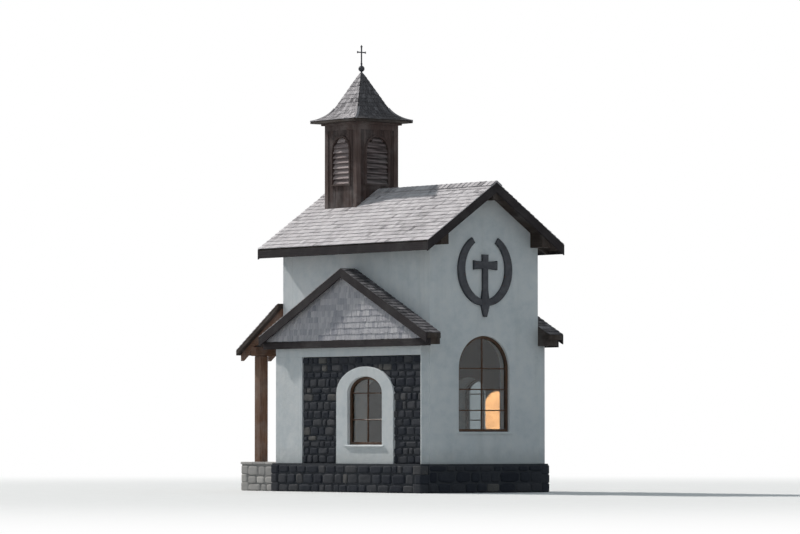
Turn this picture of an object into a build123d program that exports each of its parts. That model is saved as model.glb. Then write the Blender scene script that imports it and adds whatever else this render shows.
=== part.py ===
"""A small wayside chapel: one nave, a shingled wing on each long side, a bell turret and a porch.

Millimetres. The origin is at ground level in the middle of the nave's plan, and +Z is up.
The front gable with the emblem faces -Y, the entrance under the porch faces +Y, and the ridge
runs along Y. The two wings are alike: "left" is the -X side and "right" the +X side.
"""

import os
from math import radians, tan

from build123d import *

os.makedirs("parts", exist_ok=True)

# Nave
nave_width = 3000
nave_length = 5240
wall_thickness = 350
wall_height = 4850
floor_thickness = 50

# Plinth, porch platform and steps
plinth_height = 620
plinth_projection = 60
platform_depth = 1360
platform_margin = 50
step_count = 3
step_tread = 280
step_width = 1500

# Main roof
main_pitch = 34.5
main_roof_thickness = 130
eave_overhang = 390
gable_overhang = 430
plate_width = 210
plate_height = 170
purlin_width = 160
purlin_height = 220
barge_thickness = 35
barge_depth = 220
eave_fascia_thickness = 30
eave_fascia_drop = 60
eave_fascia_reveal = 45
ridge_cap_side = 150
ridge_cap_thickness = 28

# Gable window and entrance arch: sill heights are measured from the plinth's top
gable_window_width = 1400
gable_window_sill_height = 690
gable_window_jamb = 1360
entrance_width = 1300
entrance_jamb = 1750

# Wings: their roofs rise from a heel over the lintel to a ridge just under the main eave
wing_projection = 200
wing_setback = 30
pier_length = 970
panel_recess = 40
panel_height = 2330
lintel_height = 220
wing_heel_height = 236
wing_ridge_gap = 303
wing_roof_thickness = 100
wing_roof_overhang = 380
pediment_jetty = 50
pediment_end_gap = 25
verge_overhang = 150
verge_thickness = 35
verge_depth = 200
wing_fascia_thickness = 40
wing_fascia_height = 160
wing_fascia_lap = 30

# Wing windows: basket arches in a white surround that stands on the plinth
wing_window_width = 1220
wing_window_offset = -150
wing_window_sill_height = 410
wing_window_rise = 360
surround_side = 400
surround_crown = 215
surround_head_gap = 230
surround_relief = 15

# Window frames and panes
frame_width = 60
frame_depth = 70
gable_frame_inset = 60
wing_frame_inset = 60
pane_thickness = 8

# Turret: its body stands on the ridge, and the sound openings sit between the ridge and the head rail
turret_side = 1170
turret_setback = 900
turret_body_height = 1470
turret_post = 120
turret_rail = 120
board_thickness = 40
board_inset = 25
louvre_width = 600
louvre_sill_gap = 150
louvre_head_gap = 160
louvre_thickness = 30
cornice_projection = 60
cornice_thickness = 50
spire_overhang = 230
spire_edge = 45
spire_flare_inset = 165
spire_flare_rise = 345
spire_height = 1120
spire_top_side = 56
spire_wall = 60
finial_rod = 36
finial_ball = 140
finial_height = 640
cross_arm_width = 240
cross_arm_drop = 150

# Porch
porch_beam_length = 3100
porch_beam_side = 200
porch_beam_end = 110
porch_post_side = 220
porch_post_height = 2390
porch_post_distance = 1050
porch_pitch = 33
porch_roof_depth = 1570
porch_roof_verge = 100
porch_roof_thickness = 90
rafter_width = 90
rafter_depth = 130
rafter_count = 5
rafter_end_gap = 40

# Emblem: an open ring of two arms round a cross, on a stem over the gable window
emblem_window_gap = 405
emblem_foot = 205
emblem_ring_width = 1300
emblem_ring_height = 1440
emblem_bar = 200
emblem_gap = 560
emblem_gap_height = 420
emblem_thickness = 60
emblem_cross_width = 660
emblem_cross_offset = 90
emblem_upright_rise = 320

# Nave and main roof: levels and half sizes that follow from the sizes above
hands = ((-1, "left"), (1, "right"))
half_width = nave_width / 2
half_length = nave_length / 2
inner_half_width = half_width - wall_thickness
inner_half_length = half_length - wall_thickness
wall_top = plinth_height + wall_height
gable_window_sill = plinth_height + gable_window_sill_height
gable_window_springing = gable_window_sill + gable_window_jamb
entrance_springing = plinth_height + entrance_jamb
main_slope = tan(radians(main_pitch))
main_rise = main_roof_thickness * (1 + main_slope**2) ** 0.5
roof_half_span = half_width + eave_overhang
slab_half_span = roof_half_span - eave_fascia_thickness
roof_half_length = half_length + gable_overhang


def roof_under(x):
    """Height of the main roof's underside at a distance x from the ridge line."""
    return wall_top + (half_width - abs(x)) * main_slope


def roof_top(x):
    """Height of the main roof's upper surface at a distance x from the ridge line."""
    return roof_under(x) + main_rise


# Wings: levels, faces and the slope of their roofs
eave_fascia_bottom = roof_under(slab_half_span) - eave_fascia_drop
wing_face = half_width + wing_projection
wing_front = -half_length + wing_setback
panel_end = half_length - pier_length
panel_top = plinth_height + panel_height
lintel_top = panel_top + lintel_height
panel_centre = (wing_front + panel_end) / 2
window_centre = panel_centre + wing_window_offset
wing_window_sill = plinth_height + wing_window_sill_height
wing_window_springing = panel_top - surround_head_gap - surround_crown - wing_window_rise
wing_apex = eave_fascia_bottom - wing_ridge_gap
wing_half_roof = half_length + wing_roof_overhang
wing_slope = (wing_apex - lintel_top - wing_heel_height) / wing_half_roof
wing_rise = wing_roof_thickness * (1 + wing_slope**2) ** 0.5
pediment_face = wing_face + pediment_jetty
wing_verge_face = pediment_face + verge_overhang


def wing_top(y):
    """Height of a wing roof's upper surface at a distance y from its ridge."""
    return wing_apex - abs(y) * wing_slope


def wing_under(y):
    """Height of a wing roof's underside at a distance y from its ridge."""
    return wing_top(y) - wing_rise


# Turret: its place along the ridge and levels over it
turret_half = turret_side / 2
turret_position = half_length - turret_setback
turret_top = roof_top(0) + turret_body_height
louvre_sill = roof_top(0) + louvre_sill_gap
louvre_springing = turret_top - turret_rail - louvre_head_gap - louvre_width / 2

# Porch: the posts carry a beam, the beam carries the rafters, and the roof lies on them
porch_slope = tan(radians(porch_pitch))
porch_rise = porch_roof_thickness * (1 + porch_slope**2) ** 0.5
rafter_rise = rafter_depth * (1 + porch_slope**2) ** 0.5
post_line = half_length + porch_post_distance
beam_bottom = plinth_height + porch_post_height
beam_top = beam_bottom + porch_beam_side


def porch_top(y):
    """Height of the porch roof's upper surface at the place y along the nave's axis."""
    return beam_top + rafter_rise + porch_rise + (post_line - y) * porch_slope


def arch(centre, width, bottom, springing, rise):
    """An upright rectangle with a half ellipse on top, as a sketch."""
    left = centre - width / 2
    right = centre + width / 2
    with BuildSketch() as outline:
        with BuildLine():
            Polyline((left, springing), (left, bottom), (right, bottom), (right, springing))
            EllipticalCenterArc((centre, springing), width / 2, rise, start_angle=0, arc_size=180)
        make_face()
    return outline.sketch


def chevron(half_span, top, depth_below):
    """Fill the band under a gable line: its top edge follows top(run), its depth is measured plumb."""
    Polygon(
        (-half_span, top(half_span)),
        (0, top(0)),
        (half_span, top(half_span)),
        (half_span, top(half_span) - depth_below),
        (0, top(0) - depth_below),
        (-half_span, top(half_span) - depth_below),
        align=None,
    )


# Arched outlines of the openings, their panes and the white surrounds
gable_opening = arch(
    0,
    gable_window_width,
    gable_window_sill,
    gable_window_springing,
    gable_window_width / 2,
)
gable_pane = arch(
    0,
    gable_window_width - 2 * frame_width,
    gable_window_sill + frame_width,
    gable_window_springing,
    gable_window_width / 2 - frame_width,
)
wing_opening = arch(
    window_centre,
    wing_window_width,
    wing_window_sill,
    wing_window_springing,
    wing_window_rise,
)
wing_pane = arch(
    window_centre,
    wing_window_width - 2 * frame_width,
    wing_window_sill + frame_width,
    wing_window_springing,
    wing_window_rise - frame_width,
)
wing_surround = arch(
    window_centre,
    wing_window_width + 2 * surround_side,
    plinth_height,
    wing_window_springing,
    wing_window_rise + surround_crown,
)
sound_opening_across = arch(
    0,
    louvre_width,
    louvre_sill,
    louvre_springing,
    louvre_width / 2,
)
sound_opening_along = arch(
    turret_position,
    louvre_width,
    louvre_sill,
    louvre_springing,
    louvre_width / 2,
)

# Plinth: a solid base of rubble that carries the nave and both wings
with BuildPart() as plinth:
    with BuildSketch():
        Rectangle(nave_width + 2 * plinth_projection, nave_length + 2 * plinth_projection)
        with Locations((0, (wing_front + half_length) / 2)):
            Rectangle(
                2 * (wing_face + plinth_projection),
                half_length - wing_front + 2 * plinth_projection,
            )
    extrude(amount=plinth_height)
plinth.part.label = "plinth"
export_step(plinth.part, "parts/plinth.step")

# Porch platform, level with the plinth
platform_start = half_length + plinth_projection
platform_end = platform_start + platform_depth
with BuildPart() as porch_platform:
    with BuildSketch():
        with Locations((0, (platform_start + platform_end) / 2)):
            Rectangle(porch_beam_length + 2 * platform_margin, platform_depth)
    extrude(amount=plinth_height)
porch_platform.part.label = "porch_platform"
export_step(porch_platform.part, "parts/porch_platform.step")

# Entrance steps: each tread is a riser lower than the one before it
riser = plinth_height / (step_count + 1)
with BuildPart() as entrance_steps:
    for step in range(step_count):
        with BuildSketch():
            with Locations((0, platform_end + (step + 0.5) * step_tread)):
                Rectangle(step_width, step_tread)
        extrude(amount=plinth_height - (step + 1) * riser)
entrance_steps.part.label = "entrance_steps"
export_step(entrance_steps.part, "parts/entrance_steps.step")

# Nave floor, which runs out through the entrance to the wall's outer face
with BuildPart() as nave_floor:
    with BuildSketch(Plane.XY.offset(plinth_height)):
        Rectangle(2 * inner_half_width, 2 * inner_half_length)
        with Locations((0, half_length - wall_thickness / 2)):
            Rectangle(entrance_width, wall_thickness)
    extrude(amount=floor_thickness)
nave_floor.part.label = "nave_floor"
export_step(nave_floor.part, "parts/nave_floor.step")


def gable_outline(bottom):
    """Fill a gable wall from a level up to the roof, less the seats of the plates and the purlin."""
    Polygon(
        (-half_width, bottom),
        (half_width, bottom),
        (half_width, wall_top),
        (0, roof_under(0)),
        (-half_width, wall_top),
        align=None,
    )
    for hand, _ in hands:
        with Locations((hand * (half_width - plate_width / 2), wall_top - plate_height)):
            Rectangle(
                plate_width,
                plate_height + roof_under(half_width - plate_width) - wall_top,
                align=(Align.CENTER, Align.MIN),
                mode=Mode.SUBTRACT,
            )
    with Locations((0, roof_under(0) - purlin_height)):
        Rectangle(purlin_width, purlin_height, align=(Align.CENTER, Align.MIN), mode=Mode.SUBTRACT)


# Front gable wall with its round-headed window
with BuildPart() as front_wall:
    with BuildSketch(Plane.XZ.offset(half_length)):
        gable_outline(plinth_height)
    extrude(amount=-wall_thickness)
    with BuildSketch(Plane.XZ.offset(half_length)):
        add(gable_opening)
    extrude(amount=-wall_thickness, mode=Mode.SUBTRACT)
front_wall.part.label = "front_wall"
export_step(front_wall.part, "parts/front_wall.step")

# Side walls between the gable walls, each with a wing window cut through it
for hand, side in hands:
    with BuildPart() as side_wall:
        with BuildSketch(Plane.YZ.offset(hand * half_width)):
            with Locations((0, plinth_height)):
                Rectangle(
                    2 * inner_half_length,
                    wall_height - plate_height,
                    align=(Align.CENTER, Align.MIN),
                )
        extrude(amount=-hand * wall_thickness)
        with BuildSketch(Plane.YZ.offset(hand * half_width)):
            add(wing_opening)
        extrude(amount=-hand * wall_thickness, mode=Mode.SUBTRACT)
    side_wall.part.label = f"{side}_wall"
    export_step(side_wall.part, f"parts/{side}_wall.step")

# Back wall beside the entrance
back_wall_width = half_width - entrance_width / 2
back_wall_centre = half_width - back_wall_width / 2
for hand, side in hands:
    with BuildPart() as back_wall_side:
        with BuildSketch(Plane.XY.offset(plinth_height)):
            with Locations((hand * back_wall_centre, half_length - wall_thickness / 2)):
                Rectangle(back_wall_width, wall_thickness)
        extrude(amount=entrance_springing - plinth_height)
    back_wall_side.part.label = f"back_wall_{side}"
    export_step(back_wall_side.part, f"parts/back_wall_{side}.step")

# Back wall over the entrance, with the round head of the doorway
with BuildPart() as back_wall_over:
    with BuildSketch(Plane.XZ.offset(-half_length)):
        gable_outline(entrance_springing)
        with Locations((0, entrance_springing)):
            Circle(entrance_width / 2, mode=Mode.SUBTRACT)
    extrude(amount=wall_thickness)
back_wall_over.part.label = "back_wall_over"
export_step(back_wall_over.part, "parts/back_wall_over.step")

# Wing walls: a white pier at the far end, a lintel band on top and a rubble panel between
for hand, side in hands:
    with BuildPart() as pier:
        with BuildSketch(Plane.YZ.offset(hand * half_width)):
            with Locations((half_length - pier_length / 2, plinth_height)):
                Rectangle(pier_length, panel_height, align=(Align.CENTER, Align.MIN))
        extrude(amount=hand * wing_projection)
    pier.part.label = f"{side}_pier"
    export_step(pier.part, f"parts/{side}_pier.step")

    with BuildPart() as lintel_band:
        with BuildSketch(Plane.YZ.offset(hand * half_width)):
            with Locations(((wing_front + half_length) / 2, panel_top)):
                Rectangle(half_length - wing_front, lintel_height, align=(Align.CENTER, Align.MIN))
        extrude(amount=hand * wing_projection)
    lintel_band.part.label = f"{side}_lintel_band"
    export_step(lintel_band.part, f"parts/{side}_lintel_band.step")

    with BuildPart() as rubble_panel:
        with BuildSketch(Plane.YZ.offset(hand * half_width)):
            with Locations((panel_centre, plinth_height)):
                Rectangle(panel_end - wing_front, panel_height, align=(Align.CENTER, Align.MIN))
            add(wing_surround, mode=Mode.SUBTRACT)
        extrude(amount=hand * (wing_projection - panel_recess))
    rubble_panel.part.label = f"{side}_rubble_panel"
    export_step(rubble_panel.part, f"parts/{side}_rubble_panel.step")

    with BuildPart() as window_surround:
        with BuildSketch(Plane.YZ.offset(hand * half_width)):
            add(wing_surround)
            add(wing_opening, mode=Mode.SUBTRACT)
        extrude(amount=hand * (wing_projection + surround_relief))
    window_surround.part.label = f"{side}_window_surround"
    export_step(window_surround.part, f"parts/{side}_window_surround.step")

# Wing gables: a boxed pediment under a roof of two slopes, on a dark fascia
pediment_half = wing_half_roof - pediment_end_gap
for hand, side in hands:
    with BuildPart() as pediment:
        with BuildSketch(Plane.YZ.offset(hand * half_width)):
            Polygon(
                (-pediment_half, lintel_top),
                (pediment_half, lintel_top),
                (pediment_half, wing_under(pediment_half)),
                (0, wing_under(0)),
                (-pediment_half, wing_under(pediment_half)),
                align=None,
            )
        extrude(amount=hand * (pediment_face - half_width))
    pediment.part.label = f"{side}_pediment"
    export_step(pediment.part, f"parts/{side}_pediment.step")

    with BuildPart() as wing_roof:
        with BuildSketch(Plane.YZ.offset(hand * half_width)):
            chevron(wing_half_roof, wing_top, wing_rise)
        extrude(amount=hand * (wing_verge_face - verge_thickness - half_width))
    wing_roof.part.label = f"{side}_wing_roof"
    export_step(wing_roof.part, f"parts/{side}_wing_roof.step")

    with BuildPart() as verge_boards:
        with BuildSketch(Plane.YZ.offset(hand * wing_verge_face)):
            chevron(wing_half_roof, wing_top, verge_depth)
        extrude(amount=-hand * verge_thickness)
    verge_boards.part.label = f"{side}_verge_boards"
    export_step(verge_boards.part, f"parts/{side}_verge_boards.step")

# Wing fascias, nailed along the foot of each pediment
with BuildPart() as wing_fascias:
    for hand, _ in hands:
        with BuildSketch(Plane.YZ.offset(hand * pediment_face)):
            with Locations((0, lintel_top - wing_fascia_lap)):
                Rectangle(2 * pediment_half, wing_fascia_height, align=(Align.CENTER, Align.MIN))
        extrude(amount=hand * wing_fascia_thickness)
        with BuildSketch(Plane.YZ.offset(hand * pediment_face)):
            chevron(wing_half_roof, wing_top, wing_rise)
        extrude(amount=hand * wing_fascia_thickness, mode=Mode.SUBTRACT)
wing_fascias.part.label = "wing_fascias"
export_step(wing_fascias.part, "parts/wing_fascias.step")

# Roof timbers: wall plates and ridge purlin, whose ends show under the gables
timber_half_length = roof_half_length - barge_thickness
with BuildPart() as roof_timbers:
    with BuildSketch(Plane.XZ):
        for hand, _ in hands:
            outer = hand * half_width
            inner = hand * (half_width - plate_width)
            Polygon(
                (outer, wall_top - plate_height),
                (outer, roof_under(outer)),
                (inner, roof_under(inner)),
                (inner, wall_top - plate_height),
                align=None,
            )
        Polygon(
            (-purlin_width / 2, roof_under(0) - purlin_height),
            (purlin_width / 2, roof_under(0) - purlin_height),
            (purlin_width / 2, roof_under(purlin_width / 2)),
            (0, roof_under(0)),
            (-purlin_width / 2, roof_under(purlin_width / 2)),
            align=None,
        )
    extrude(amount=timber_half_length, both=True)
roof_timbers.part.label = "roof_timbers"
export_step(roof_timbers.part, "parts/roof_timbers.step")

# Main roof slopes: boards and shingles as one slab a side, cut plumb at the ridge and the eave
for hand, side in hands:
    with BuildPart() as main_roof:
        with BuildSketch(Plane.XZ):
            Polygon(
                (0, roof_under(0)),
                (0, roof_top(0)),
                (hand * slab_half_span, roof_top(slab_half_span)),
                (hand * slab_half_span, roof_under(slab_half_span)),
                align=None,
            )
        extrude(amount=timber_half_length, both=True)
    main_roof.part.label = f"main_roof_{side}"
    export_step(main_roof.part, f"parts/main_roof_{side}.step")

# Eave fascias along the lower edges of the main roof
eave_fascia_centre = roof_half_span - eave_fascia_thickness / 2
with BuildPart() as eave_fascias:
    with BuildSketch(Plane.XZ):
        for hand, _ in hands:
            with Locations((hand * eave_fascia_centre, eave_fascia_bottom)):
                Rectangle(
                    eave_fascia_thickness,
                    main_rise + eave_fascia_drop - eave_fascia_reveal,
                    align=(Align.CENTER, Align.MIN),
                )
    extrude(amount=timber_half_length, both=True)
eave_fascias.part.label = "eave_fascias"
export_step(eave_fascias.part, "parts/eave_fascias.step")

# Barge boards, a pair fixed over the end of the roof on each gable
for end, name in ((1, "front"), (-1, "back")):
    with BuildPart() as barge_boards:
        with BuildSketch(Plane.XZ.offset(end * timber_half_length)):
            chevron(roof_half_span, roof_top, barge_depth)
        extrude(amount=end * barge_thickness)
    barge_boards.part.label = f"{name}_barge_boards"
    export_step(barge_boards.part, f"parts/{name}_barge_boards.step")


def cap_line(x):
    """Height of the ridge cap's upper surface."""
    return roof_top(x) + ridge_cap_thickness


# Ridge cap, in two lengths that stop against the turret
with BuildPart() as ridge_cap:
    with BuildSketch(Plane.XZ):
        chevron(ridge_cap_side, cap_line, ridge_cap_thickness)
    extrude(amount=roof_half_length, both=True)
    with BuildSketch():
        with Locations((0, turret_position)):
            Rectangle(turret_side, turret_side)
    extrude(amount=turret_top, mode=Mode.SUBTRACT)
ridge_cap.part.label = "ridge_cap"
export_step(ridge_cap.part, "parts/ridge_cap.step")


def roof_under_turret():
    """Fill what lies under the main roof's upper surface, where the turret stands on it."""
    Polygon(
        (-turret_side, wall_top),
        (turret_side, wall_top),
        (turret_side, roof_top(turret_side)),
        (0, roof_top(0)),
        (-turret_side, roof_top(turret_side)),
        align=None,
    )


# Turret frame: corner posts and a head rail on the ridge
with BuildPart() as turret_frame:
    with BuildSketch(Plane.XY.offset(wall_top)):
        with Locations((0, turret_position)):
            with GridLocations(turret_side - turret_post, turret_side - turret_post, 2, 2):
                Rectangle(turret_post, turret_post)
    extrude(amount=turret_top - wall_top)
    with BuildSketch(Plane.XY.offset(turret_top)):
        with Locations((0, turret_position)):
            Rectangle(turret_side, turret_side)
            Rectangle(turret_side - 2 * turret_post, turret_side - 2 * turret_post, mode=Mode.SUBTRACT)
    extrude(amount=-turret_rail)
    with BuildSketch(Plane.XZ.offset(-turret_position)):
        roof_under_turret()
    extrude(amount=turret_side, both=True, mode=Mode.SUBTRACT)
turret_frame.part.label = "turret_frame"
export_step(turret_frame.part, "parts/turret_frame.step")

# Turret boards: a panel between the posts on each side, with a round-headed sound opening
panel_width = turret_side - 2 * turret_post
panel_rise = turret_top - turret_rail - wall_top
board_offset = turret_half - board_inset
with BuildPart() as turret_boards:
    for end in (-1, 1):
        with BuildSketch(Plane.XZ.offset(-turret_position + end * board_offset)):
            with Locations((0, wall_top)):
                Rectangle(panel_width, panel_rise, align=(Align.CENTER, Align.MIN))
            add(sound_opening_across, mode=Mode.SUBTRACT)
        extrude(amount=-end * board_thickness)
        with BuildSketch(Plane.YZ.offset(end * board_offset)):
            with Locations((turret_position, wall_top)):
                Rectangle(panel_width, panel_rise, align=(Align.CENTER, Align.MIN))
            add(sound_opening_along, mode=Mode.SUBTRACT)
        extrude(amount=-end * board_thickness)
    with BuildSketch(Plane.XZ.offset(-turret_position)):
        roof_under_turret()
    extrude(amount=turret_side, both=True, mode=Mode.SUBTRACT)
turret_boards.part.label = "turret_boards"
export_step(turret_boards.part, "parts/turret_boards.step")

# Turret louvres: a bank of blades in each sound opening
louvre_offset = board_offset - (board_thickness - louvre_thickness) / 2
with BuildPart() as turret_louvres:
    for end in (-1, 1):
        with BuildSketch(Plane.XZ.offset(-turret_position + end * louvre_offset)):
            add(sound_opening_across)
        extrude(amount=-end * louvre_thickness)
        with BuildSketch(Plane.YZ.offset(end * louvre_offset)):
            add(sound_opening_along)
        extrude(amount=-end * louvre_thickness)
turret_louvres.part.label = "turret_louvres"
export_step(turret_louvres.part, "parts/turret_louvres.step")

# Turret cornice under the spire's eave
with BuildPart() as turret_cornice:
    with BuildSketch(Plane.XY.offset(turret_top)):
        with Locations((0, turret_position)):
            Rectangle(turret_side + 2 * cornice_projection, turret_side + 2 * cornice_projection)
            Rectangle(panel_width, panel_width, mode=Mode.SUBTRACT)
    extrude(amount=cornice_thickness)
turret_cornice.part.label = "turret_cornice"
export_step(turret_cornice.part, "parts/turret_cornice.step")

# Turret spire: a square spire whose foot flares out to the eave, hollow inside
spire_foot = turret_top + cornice_thickness
spire_top = spire_foot + spire_height
flare_height = spire_foot + spire_flare_rise
eave_half = turret_half + spire_overhang
flare_half = turret_half - spire_flare_inset
steep_run = flare_half - spire_top_side / 2
steep_fall = spire_top - flare_height


def spire_outline(centre):
    """The spire's outline seen square on, as a sketch round an upright centre line."""
    with BuildSketch() as outline:
        with BuildLine():
            Polyline(
                (centre - eave_half, spire_foot + spire_edge),
                (centre - eave_half, spire_foot),
                (centre + eave_half, spire_foot),
                (centre + eave_half, spire_foot + spire_edge),
            )
            TangentArc(
                (centre + flare_half, flare_height),
                (centre + eave_half, spire_foot + spire_edge),
                tangent=(steep_run, -steep_fall),
            )
            TangentArc(
                (centre - flare_half, flare_height),
                (centre - eave_half, spire_foot + spire_edge),
                tangent=(-steep_run, -steep_fall),
            )
            Polyline(
                (centre + flare_half, flare_height),
                (centre + spire_top_side / 2, spire_top),
                (centre - spire_top_side / 2, spire_top),
                (centre - flare_half, flare_height),
            )
        make_face()
    return outline.sketch


hollow_half = flare_half - spire_wall
hollow_top = spire_foot + (spire_height * hollow_half / flare_half - spire_wall)
with BuildPart() as turret_spire:
    with BuildSketch(Plane.XZ.offset(-turret_position)):
        add(spire_outline(0))
    extrude(amount=eave_half, both=True)
    with BuildSketch(Plane.YZ):
        add(spire_outline(turret_position))
    extrude(amount=eave_half, both=True, mode=Mode.INTERSECT)
    with BuildSketch(Plane.XY.offset(spire_foot)):
        with Locations((0, turret_position)):
            Rectangle(2 * hollow_half, 2 * hollow_half)
    with BuildSketch(Plane.XY.offset(hollow_top)):
        with Locations((0, turret_position)):
            Rectangle(spire_wall, spire_wall)
    loft(mode=Mode.SUBTRACT)
turret_spire.part.label = "turret_spire"
export_step(turret_spire.part, "parts/turret_spire.step")

# Finial: a ball on a rod that ends in a small cross
with BuildPart() as turret_finial:
    with BuildSketch(Plane.XY.offset(spire_top)):
        with Locations((0, turret_position)):
            Rectangle(finial_rod, finial_rod)
    extrude(amount=finial_height)
    with Locations((0, turret_position, spire_top + finial_ball / 2 + finial_rod)):
        Sphere(finial_ball / 2)
    with BuildSketch(Plane.XY.offset(spire_top + finial_height - cross_arm_drop)):
        with Locations((0, turret_position)):
            Rectangle(cross_arm_width, finial_rod)
    extrude(amount=-finial_rod)
turret_finial.part.label = "turret_finial"
export_step(turret_finial.part, "parts/turret_finial.step")

# Porch: two posts, a beam, rafters let into the beam, and a lean-to roof
porch_post_spacing = porch_beam_length - 2 * porch_beam_end - porch_post_side
with BuildPart() as porch_posts:
    with BuildSketch(Plane.XY.offset(plinth_height)):
        with Locations((0, post_line)):
            with GridLocations(porch_post_spacing, 0, 2, 1):
                Rectangle(porch_post_side, porch_post_side)
    extrude(amount=beam_bottom - plinth_height)
porch_posts.part.label = "porch_posts"
export_step(porch_posts.part, "parts/porch_posts.step")

with BuildPart() as porch_beam:
    with BuildSketch(Plane.XY.offset(beam_bottom)):
        with Locations((0, post_line)):
            Rectangle(porch_beam_length, porch_beam_side)
    extrude(amount=porch_beam_side)
porch_beam.part.label = "porch_beam"
export_step(porch_beam.part, "parts/porch_beam.step")

rafter_end = half_length + porch_roof_depth - rafter_end_gap
rafter_spacing = (porch_beam_length - rafter_width) / (rafter_count - 1)
with BuildPart() as porch_rafters:
    for number in range(rafter_count):
        rafter_place = (number - (rafter_count - 1) / 2) * rafter_spacing
        with BuildSketch(Plane.YZ.offset(rafter_place)):
            Polygon(
                (half_length, porch_top(half_length) - porch_rise),
                (half_length, porch_top(half_length) - porch_rise - rafter_rise),
                (rafter_end, porch_top(rafter_end) - porch_rise - rafter_rise),
                (rafter_end, porch_top(rafter_end) - porch_rise),
                align=None,
            )
        extrude(amount=rafter_width / 2, both=True)
    with BuildSketch(Plane.XY.offset(beam_bottom)):
        with Locations((0, post_line)):
            Rectangle(porch_beam_length, porch_beam_side)
    extrude(amount=porch_beam_side, mode=Mode.SUBTRACT)
porch_rafters.part.label = "porch_rafters"
export_step(porch_rafters.part, "parts/porch_rafters.step")

porch_eave = half_length + porch_roof_depth
with BuildPart() as porch_roof:
    with BuildSketch(Plane.YZ):
        Polygon(
            (half_length, porch_top(half_length)),
            (half_length, porch_top(half_length) - porch_rise),
            (porch_eave, porch_top(porch_eave) - porch_rise),
            (porch_eave, porch_top(porch_eave)),
            align=None,
        )
    extrude(amount=porch_beam_length / 2 + porch_roof_verge, both=True)
porch_roof.part.label = "porch_roof"
export_step(porch_roof.part, "parts/porch_roof.step")

# Emblem on the front gable: a ring that is open at the top, with a cross standing in it on a stem
emblem_bottom = gable_window_springing + gable_window_width / 2 + emblem_window_gap
emblem_centre = emblem_bottom + emblem_foot + (emblem_ring_height + emblem_bar) / 2
emblem_upright = emblem_centre + emblem_upright_rise - emblem_bottom
with BuildPart() as emblem:
    with BuildSketch(Plane.XZ.offset(half_length)):
        with Locations((0, emblem_centre)):
            Ellipse((emblem_ring_width + emblem_bar) / 2, (emblem_ring_height + emblem_bar) / 2)
            Ellipse(
                (emblem_ring_width - emblem_bar) / 2,
                (emblem_ring_height - emblem_bar) / 2,
                mode=Mode.SUBTRACT,
            )
        with Locations((0, emblem_centre + emblem_gap_height)):
            Rectangle(
                emblem_gap,
                emblem_ring_height,
                align=(Align.CENTER, Align.MIN),
                mode=Mode.SUBTRACT,
            )
        with Locations((0, emblem_bottom)):
            Rectangle(emblem_bar, emblem_upright, align=(Align.CENTER, Align.MIN))
        with Locations((0, emblem_centre + emblem_cross_offset)):
            Rectangle(emblem_cross_width, emblem_bar)
    extrude(amount=emblem_thickness)
emblem.part.label = "emblem"
export_step(emblem.part, "parts/emblem.step")

# Window frames: a timber ring in the gable window and in each wing window
with BuildPart() as window_frames:
    with BuildSketch(Plane.XZ.offset(half_length - gable_frame_inset)):
        add(gable_opening)
        add(gable_pane, mode=Mode.SUBTRACT)
    extrude(amount=-frame_depth)
    for hand, _ in hands:
        with BuildSketch(Plane.YZ.offset(hand * (wing_face - wing_frame_inset))):
            add(wing_opening)
            add(wing_pane, mode=Mode.SUBTRACT)
        extrude(amount=-hand * frame_depth)
window_frames.part.label = "window_frames"
export_step(window_frames.part, "parts/window_frames.step")

# Window glass: one pane inside each frame
pane_inset = (frame_depth - pane_thickness) / 2
with BuildPart() as window_glass:
    with BuildSketch(Plane.XZ.offset(half_length - gable_frame_inset - pane_inset)):
        add(gable_pane)
    extrude(amount=-pane_thickness)
    for hand, _ in hands:
        with BuildSketch(Plane.YZ.offset(hand * (wing_face - wing_frame_inset - pane_inset))):
            add(wing_pane)
        extrude(amount=-hand * pane_thickness)
window_glass.part.label = "window_glass"
export_step(window_glass.part, "parts/window_glass.step")
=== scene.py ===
# %% [markdown]
# # A small wayside chapel
#
# The chapel is one plastered room under a shingled saddle roof. Each long side has a shingled wing
# gable over a rubble panel, a bell turret stands on the ridge, and an open porch leans on the far end.
# The construction comes as a frame of plain pieces. This lesson dresses that frame: it keeps the walls
# and boards that already have their true shape, gives them materials, and adds what a plain solid
# lacks, such as every shingle, stone and louvre blade. Lengths are metres, +Z is up, the front
# gable faces -Y, and "left" is the -X side.

# %% The frame and the libraries
import math

import bmesh
import bpy
import numpy as np
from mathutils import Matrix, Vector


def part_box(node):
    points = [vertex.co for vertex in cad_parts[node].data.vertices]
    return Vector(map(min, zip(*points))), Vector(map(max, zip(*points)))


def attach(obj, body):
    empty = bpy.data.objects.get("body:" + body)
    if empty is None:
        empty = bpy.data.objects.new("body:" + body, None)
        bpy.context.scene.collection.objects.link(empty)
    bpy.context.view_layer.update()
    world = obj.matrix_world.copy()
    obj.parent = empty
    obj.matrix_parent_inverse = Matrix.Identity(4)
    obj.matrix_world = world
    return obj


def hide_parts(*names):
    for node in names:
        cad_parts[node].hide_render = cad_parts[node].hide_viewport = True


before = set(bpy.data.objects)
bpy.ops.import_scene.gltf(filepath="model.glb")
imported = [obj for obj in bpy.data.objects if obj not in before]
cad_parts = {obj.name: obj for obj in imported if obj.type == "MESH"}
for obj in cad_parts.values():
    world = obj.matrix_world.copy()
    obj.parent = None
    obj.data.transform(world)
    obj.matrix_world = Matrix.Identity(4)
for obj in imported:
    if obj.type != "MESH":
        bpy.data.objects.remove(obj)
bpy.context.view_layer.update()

# %% [markdown]
# ## Places that the new pieces share
#
# Every new piece sits on a wall or a roof of the frame. The places could be typed in, but a number
# that is read from the frame can't drift away from it, so each level and face comes from the lowest
# and highest corner of a piece. Only what no corner shows is written down again, such as the roof
# pitches, the thickness of the walls, the spire's flare and the outlines of the windows.

# %% Levels and faces, read from the frame
def low_high(node):
    """The lowest and highest corner of a piece of the frame, as arrays."""
    low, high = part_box(node)
    return np.array(low), np.array(high)


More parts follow.
